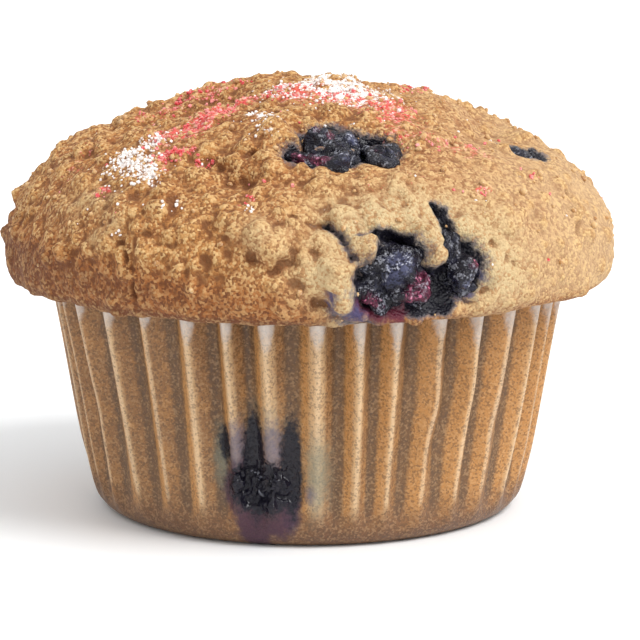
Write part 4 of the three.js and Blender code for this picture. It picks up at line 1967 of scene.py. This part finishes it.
BERRIES = (
    BurstBerry("crown_berry_large", sunk_mm=1.5, wrinkle_mm=1.6, grow=1.06, lobes=(
        Lobe(Spot(-2.2, 36.8), 1.1, 0.3, pulp=0.9),
        Lobe(Spot(3.5, 35.4), 1.4, 0.3, pulp=0.9),
        Lobe(Spot(7.0, 44.0), 0.9, 0.4, pulp=0.7),
        Lobe(Spot(2.6, 44.8), 0.9, 0.3, pulp=0.6),
        Lobe(Spot(14.7, 43.4), 1.1, 0.7, bloom=0.8),
        Lobe(Spot(9.3, 35.2), 1.5, 0.2, bloom=0.5),
        Lobe(Spot(12.0, 40.6), 0.9, -1.2, bloom=-0.3),
        Lobe(Spot(0.8, 40.5), 1.1, -0.9, bloom=-0.2),
        Lobe(Spot(-5.0, 40.0), 1.2, 0.2, bloom=0.4),
    )),
    BurstBerry("crown_berry_small", sunk_mm=1.2, wrinkle_mm=1.1, grow=1.06, lobes=(
        Lobe(Spot(23.5, 41.0), 1.4, 0.4, bloom=0.9),
        Lobe(Spot(23.5, 36.8), 1.0, 0.1, bloom=0.5),
        Lobe(Spot(20.0, 38.0), 1.0, -0.3, pulp=0.4),
    )),
    BurstBerry("lip_berry_large", sunk_mm=2.2, wrinkle_mm=1.6, grow=1.0, lobes=(
        Lobe(Spot(16.8, 11.0), 1.8, 1.3, bloom=0.95),
        Lobe(Spot(15.0, 8.0), 1.1, 0.5, bloom=0.4),
        Lobe(Spot(21.2, 6.2), 2.0, 0.9, pulp=0.95),
        Lobe(Spot(17.2, 4.6), 1.3, 0.7, pulp=0.3),
        Lobe(Spot(11.5, 4.0), 1.6, 0.5, pulp=0.7),
        Lobe(Spot(18.0, 15.3), 1.3, -1.0, bloom=-0.5),
        Lobe(Spot(11.0, 10.0), 1.5, -0.8, bloom=-0.4),
        Lobe(Spot(25.5, 8.0), 1.2, -0.8, bloom=-0.3),
    )),
    BurstBerry("lip_berry_small", sunk_mm=1.3, wrinkle_mm=1.3, grow=1.0, lobes=(
        Lobe(Spot(29.6, 6.5), 1.2, 0.4, bloom=0.6),
        Lobe(Spot(31.0, 10.2), 0.9, 0.2, pulp=0.7),
        Lobe(Spot(30.2, 13.0), 1.3, -0.3),
        Lobe(Spot(27.2, 4.8), 1.5, 0.3, bloom=0.5),
    )),
    BurstBerry("shoulder_berry", sunk_mm=1.9, wrinkle_mm=0.7, bloom=0.30, grow=0.95),
    BurstBerry("back_crown_berry", sunk_mm=1.5, wrinkle_mm=1.6, grow=1.04, lobes=(
        Lobe(Spot(-162.0, 40.0), 1.5, 0.4, bloom=0.8),
        Lobe(Spot(-153.0, 38.0), 1.5, 0.3, pulp=0.9),
        Lobe(Spot(-158.0, 35.0), 1.2, -0.8),
    )),
    BurstBerry("back_lip_berry", sunk_mm=1.6, wrinkle_mm=1.6, grow=1.0, lobes=(
        Lobe(Spot(143.0, 14.0), 1.6, 0.6, bloom=0.8),
        Lobe(Spot(149.0, 10.0), 1.6, 0.4, pulp=0.9),
        Lobe(Spot(147.0, 15.0), 1.2, -0.8),
    )),
    BurstBerry("wall_berry_front", sunk_mm=0.2, wrinkle_mm=0.4, grow=0.96),
    BurstBerry("wall_berry_right", sunk_mm=0.2, wrinkle_mm=0.4, grow=0.96),
    BurstBerry("wall_berry_left", sunk_mm=0.2, wrinkle_mm=0.4, grow=0.96),
)


# ---------------------------------------------------------------- sugar and loose crumbs


class GrainShape(Enum):
    """What one grain is cut from."""

    CRYSTAL = "crystal"
    CRUMB = "crumb"


@dataclass(frozen=True)
class Sprinkle:
    """Grains that lie round a line of spots.

    Attributes:
        spots: the corners of the line.
        reach_mm: how far from the line a grain may lie.
        count: how many grains there are.
    """

    spots: tuple[Spot, ...]
    reach_mm: float
    count: int


@dataclass(frozen=True)
class Topping:
    """One kind of grain on the cap.

    Attributes:
        name: the piece's name.
        slot: the record's material slot.
        shape: what a grain is cut from.
        finish: what it is dressed in.
        size_mm: the smallest and the largest of their radii.
        sprinkles: where they lie.
        replaced: the CAD nodes that they stand for.
        seed: where their random places start.
        misshapen: how far a grain's points stray, as a share of its size.
    """

    name: str
    slot: str
    shape: GrainShape
    finish: GrainFinish
    size_mm: tuple[float, float]
    sprinkles: tuple[Sprinkle, ...]
    replaced: tuple[str, ...]
    seed: int
    misshapen: float = 0.16

    def build(self, surface: Surface) -> bpy.types.Object:
        """Scatters and dresses the grains.

        Args:
            surface: the finished cap.

        Returns:
            The grains, as one piece.
        """
        random = np.random.default_rng(self.seed)
        grain = self.grain()
        places = []
        for sprinkle in self.sprinkles:
            line_points = surface.along(sprinkle.spots, step_mm=1.0)
            for _ in range(sprinkle.count):
                start = line_points[random.integers(len(line_points))]
                stray = random.normal(0.0, sprinkle.reach_mm * MM * 0.55, 3)
                aim = Vector(start + stray) - surface.centre
                elevation = math.degrees(math.asin(max(min(aim.z / aim.length, 1.0), -1.0)))
                point, normal = surface.at(Spot(azimuth_of(aim), max(elevation, 1.0)))
                if normal.z < -0.2 or point.z < surface.centre.z:
                    continue
                smallest, largest = self.size_mm
                radius = smallest + (largest - smallest) * random.uniform() ** 1.6
                sizes = [radius * MM * random.uniform(0.7, 1.3) for _ in range(3)]
                turn = random_turn(random)
                seat = Matrix.Translation(point + normal * (radius * MM * random.uniform(-0.2, 0.5)))
                places.append(seat @ turn @ Matrix.Diagonal((*sizes, 1.0)))
        piece = scattered(self.name, grain, places, random, self.misshapen)
        bpy.data.objects.remove(grain)
        if self.shape is GrainShape.CRUMB:
            smooth_shading(piece)
        settle(piece, self.slot, self.finish.material(), self.replaced)
        return piece

    def grain(self) -> bpy.types.Object:
        """Makes one grain of radius 1.

        Returns:
            The grain.
        """
        bpy.ops.object.select_all(action="DESELECT")
        if self.shape is GrainShape.CRUMB:
            bpy.ops.mesh.primitive_ico_sphere_add(subdivisions=1, radius=1.0)
            return newest("loose_crumb")
        bpy.ops.mesh.primitive_cube_add(size=1.5)
        crystal = newest("crystal")
        bpy.ops.object.mode_set(mode="EDIT")
        bpy.ops.mesh.bevel(offset=0.3, segments=1, affect="EDGES")
        bpy.ops.object.mode_set(mode="OBJECT")
        return crystal


WHITE_GRAINS = Topping(
    name="white_sugar_grains",
    slot="white_sugar",
    shape=GrainShape.CRYSTAL,
    finish=GrainFinish("white_sugar", (0.90, 0.87, 0.85), (0.80, 0.72, 0.68), 0.35),
    size_mm=(0.08, 0.24),
    sprinkles=(
        Sprinkle(WHITE_SHOULDER, 2.3, 290),
        Sprinkle(WHITE_STREAK, 1.6, 110),
        Sprinkle(WHITE_TOP, 6.0, 700),
        Sprinkle(WHITE_CROWN, 1.8, 40),
        Sprinkle(line((-29, 21), (-28.5, 21)), 0.8, 9),
        Sprinkle(line((-12, 22), (-11.5, 22)), 0.7, 8),
        Sprinkle(line((-38, 15), (-37.5, 15)), 0.5, 5),
        Sprinkle(WHITE_BACK, 3.0, 110),
        Sprinkle(ALL_ROUND, 16.0, 45),
    ),
    replaced=tuple(f"white_sugar_clump_{number}" for number in range(1, 5)),
    seed=3,
)

RED_GRAINS = Topping(
    name="red_sugar_grains",
    slot="red_sugar",
    shape=GrainShape.CRYSTAL,
    finish=GrainFinish("red_sugar", (0.62, 0.045, 0.05), (0.80, 0.26, 0.24), 0.35),
    size_mm=(0.11, 0.30),
    sprinkles=(
        Sprinkle(RED_CLUSTER, 1.3, 60),
        Sprinkle(RED_FLECK, 0.8, 18),
        Sprinkle(RED_DOT_HIGH, 0.6, 10),
        Sprinkle(RED_DOT_LOW, 0.6, 8),
        Sprinkle(RED_DOT_MIDDLE, 0.7, 8),
        Sprinkle(RED_LEFT, 2.4, 150),
        Sprinkle(RED_TOP, 3.0, 90),
        Sprinkle(line((39, 23), (39.5, 23.2)), 0.7, 8),
        Sprinkle(line((50, 35), (50.5, 35.2)), 0.6, 7),
        Sprinkle(line((59, 25), (59.5, 25)), 0.6, 4),
        Sprinkle(line((32, 40), (42, 38)), 2.4, 18),
        Sprinkle(RED_BACK, 2.4, 90),
        Sprinkle(RED_BACK_RIGHT, 2.2, 50),
        Sprinkle(ALL_ROUND, 16.0, 60),
    ),
    replaced=tuple(f"red_sugar_clump_{number}" for number in range(1, 6)),
    seed=5,
)

LOOSE_CRUMBS = Topping(
    name="loose_crumbs",
    slot="crumb",
    shape=GrainShape.CRUMB,
    finish=GrainFinish("loose_crumb", (0.44, 0.22, 0.075), (0.60, 0.38, 0.17), 0.8),
    size_mm=(0.16, 0.45),
    sprinkles=(
        Sprinkle(line((-180, 25), (-90, 25), (0, 25), (90, 25), (180, 25)), 14.0, 240),
        Sprinkle(line((-180, 50), (-90, 50), (0, 50), (90, 50), (180, 50)), 12.0, 150),
    ),
    replaced=(),
    seed=11,
)


# ---------------------------------------------------------------- the studio


@dataclass(frozen=True)
class Studio:
    """The camera, the lights and the pale floor.

    Attributes:
        distance: from the camera to the middle of the muffin.
        elevation: degrees above level.
        lens: the focal length in millimetres.
        sensor: the sensor's width in millimetres.
        middle: what the view is measured from.
        aim: how far right and up of the middle the camera points.
        sun_from: the azimuth and elevation that the light comes from.
        sun_strength: how strong it is.
        sun_width: how many degrees wide it is.
        sun_colour: its colour.
        sky_strength: how strong the even light from all round is.
        sky_colour: its colour.
        floor_colour: the floor's colour.
        floor_size: how wide the floor is.
    """

    distance: float = 0.48
    elevation: float = 10.4
    lens: float = 219.8
    sensor: float = 36.0
    middle: Vector = field(default_factory=lambda: Vector((0.0, 0.0, 0.028)))
    aim: tuple[float, float] = (0.00144, -0.00547)
    sun_from: tuple[float, float] = (58.0, 48.0)
    sun_strength: float = 2.6
    sun_width: float = 32.0
    sun_colour: Colour = (1.0, 1.0, 0.995)
    sky_strength: float = 0.97
    sky_colour: Colour = (1.0, 1.0, 1.0)
    floor_colour: Colour = (0.92, 0.935, 0.945)
    floor_size: float = 6.0

    def build(self) -> None:
        """Sets up the camera, the lights and the floor."""
        self.camera()
        self.sky()
        self.sun()
        self.floor()

    def camera(self) -> None:
        """Adds the camera and makes it the scene's."""
        away = heading(0.0, self.elevation)
        up = Vector((0.0, 0.0, 1.0)) - away * away.z
        up.normalize()
        place = self.middle + away * self.distance
        target = self.middle + Vector((1.0, 0.0, 0.0)) * self.aim[0] + up * self.aim[1]
        lens = bpy.data.cameras.new("camera")
        lens.lens = self.lens
        lens.sensor_width = self.sensor
        lens.clip_start = 0.01
        camera = bpy.data.objects.new("camera", lens)
        camera.location = place
        camera.rotation_euler = (target - place).to_track_quat("-Z", "Y").to_euler()
        bpy.context.scene.collection.objects.link(camera)
        bpy.context.scene.camera = camera

    def sky(self) -> None:
        """Fills the studio with even white light."""
        world = bpy.data.worlds.new("studio")
        world.use_nodes = True
        background = world.node_tree.nodes["Background"]
        background.inputs["Color"].default_value = (*self.sky_colour, 1.0)
        background.inputs["Strength"].default_value = self.sky_strength
        bpy.context.scene.world = world
        bpy.context.scene.view_settings.view_transform = "Standard"

    def sun(self) -> None:
        """Adds one wide soft light, from the right and a little to the front."""
        light = bpy.data.lights.new("soft_sun", "SUN")
        light.energy = self.sun_strength
        light.angle = math.radians(self.sun_width)
        light.color = self.sun_colour
        sun = bpy.data.objects.new("soft_sun", light)
        sun.rotation_euler = heading(*self.sun_from).to_track_quat("Z", "Y").to_euler()
        bpy.context.scene.collection.objects.link(sun)

    def floor(self) -> None:
        """Adds the floor."""
        bpy.ops.object.select_all(action="DESELECT")
        bpy.ops.mesh.primitive_plane_add(size=self.floor_size)
        floor = newest("floor")
        material, s = blank_material("pale_floor")
        s.surface(self.floor_colour, 0.6, s.bump(s.clouds(3.0), 0.01))
        floor.data.materials.append(material)


def main() -> None:
    """Builds the muffin, piece by piece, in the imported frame."""
    logging.basicConfig(level=logging.INFO, format="%(name)s: %(message)s")
    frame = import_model()
    Studio().build()
    build_ragged_edge()
    build_speckle()
    cake_parts = MuffinCake()
    cake = cake_parts.build(frame)
    PaperLiner().build()
    berry_skin = BerryFinish().material()
    for berry in BERRIES:
        berry.build(frame, cake_parts.centre, berry_skin)
    surface = Surface(cake, cake_parts.centre)
    for topping in (WHITE_GRAINS, RED_GRAINS, LOOSE_CRUMBS):
        topping.build(surface)
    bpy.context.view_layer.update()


if __name__ == "__main__":
    main()
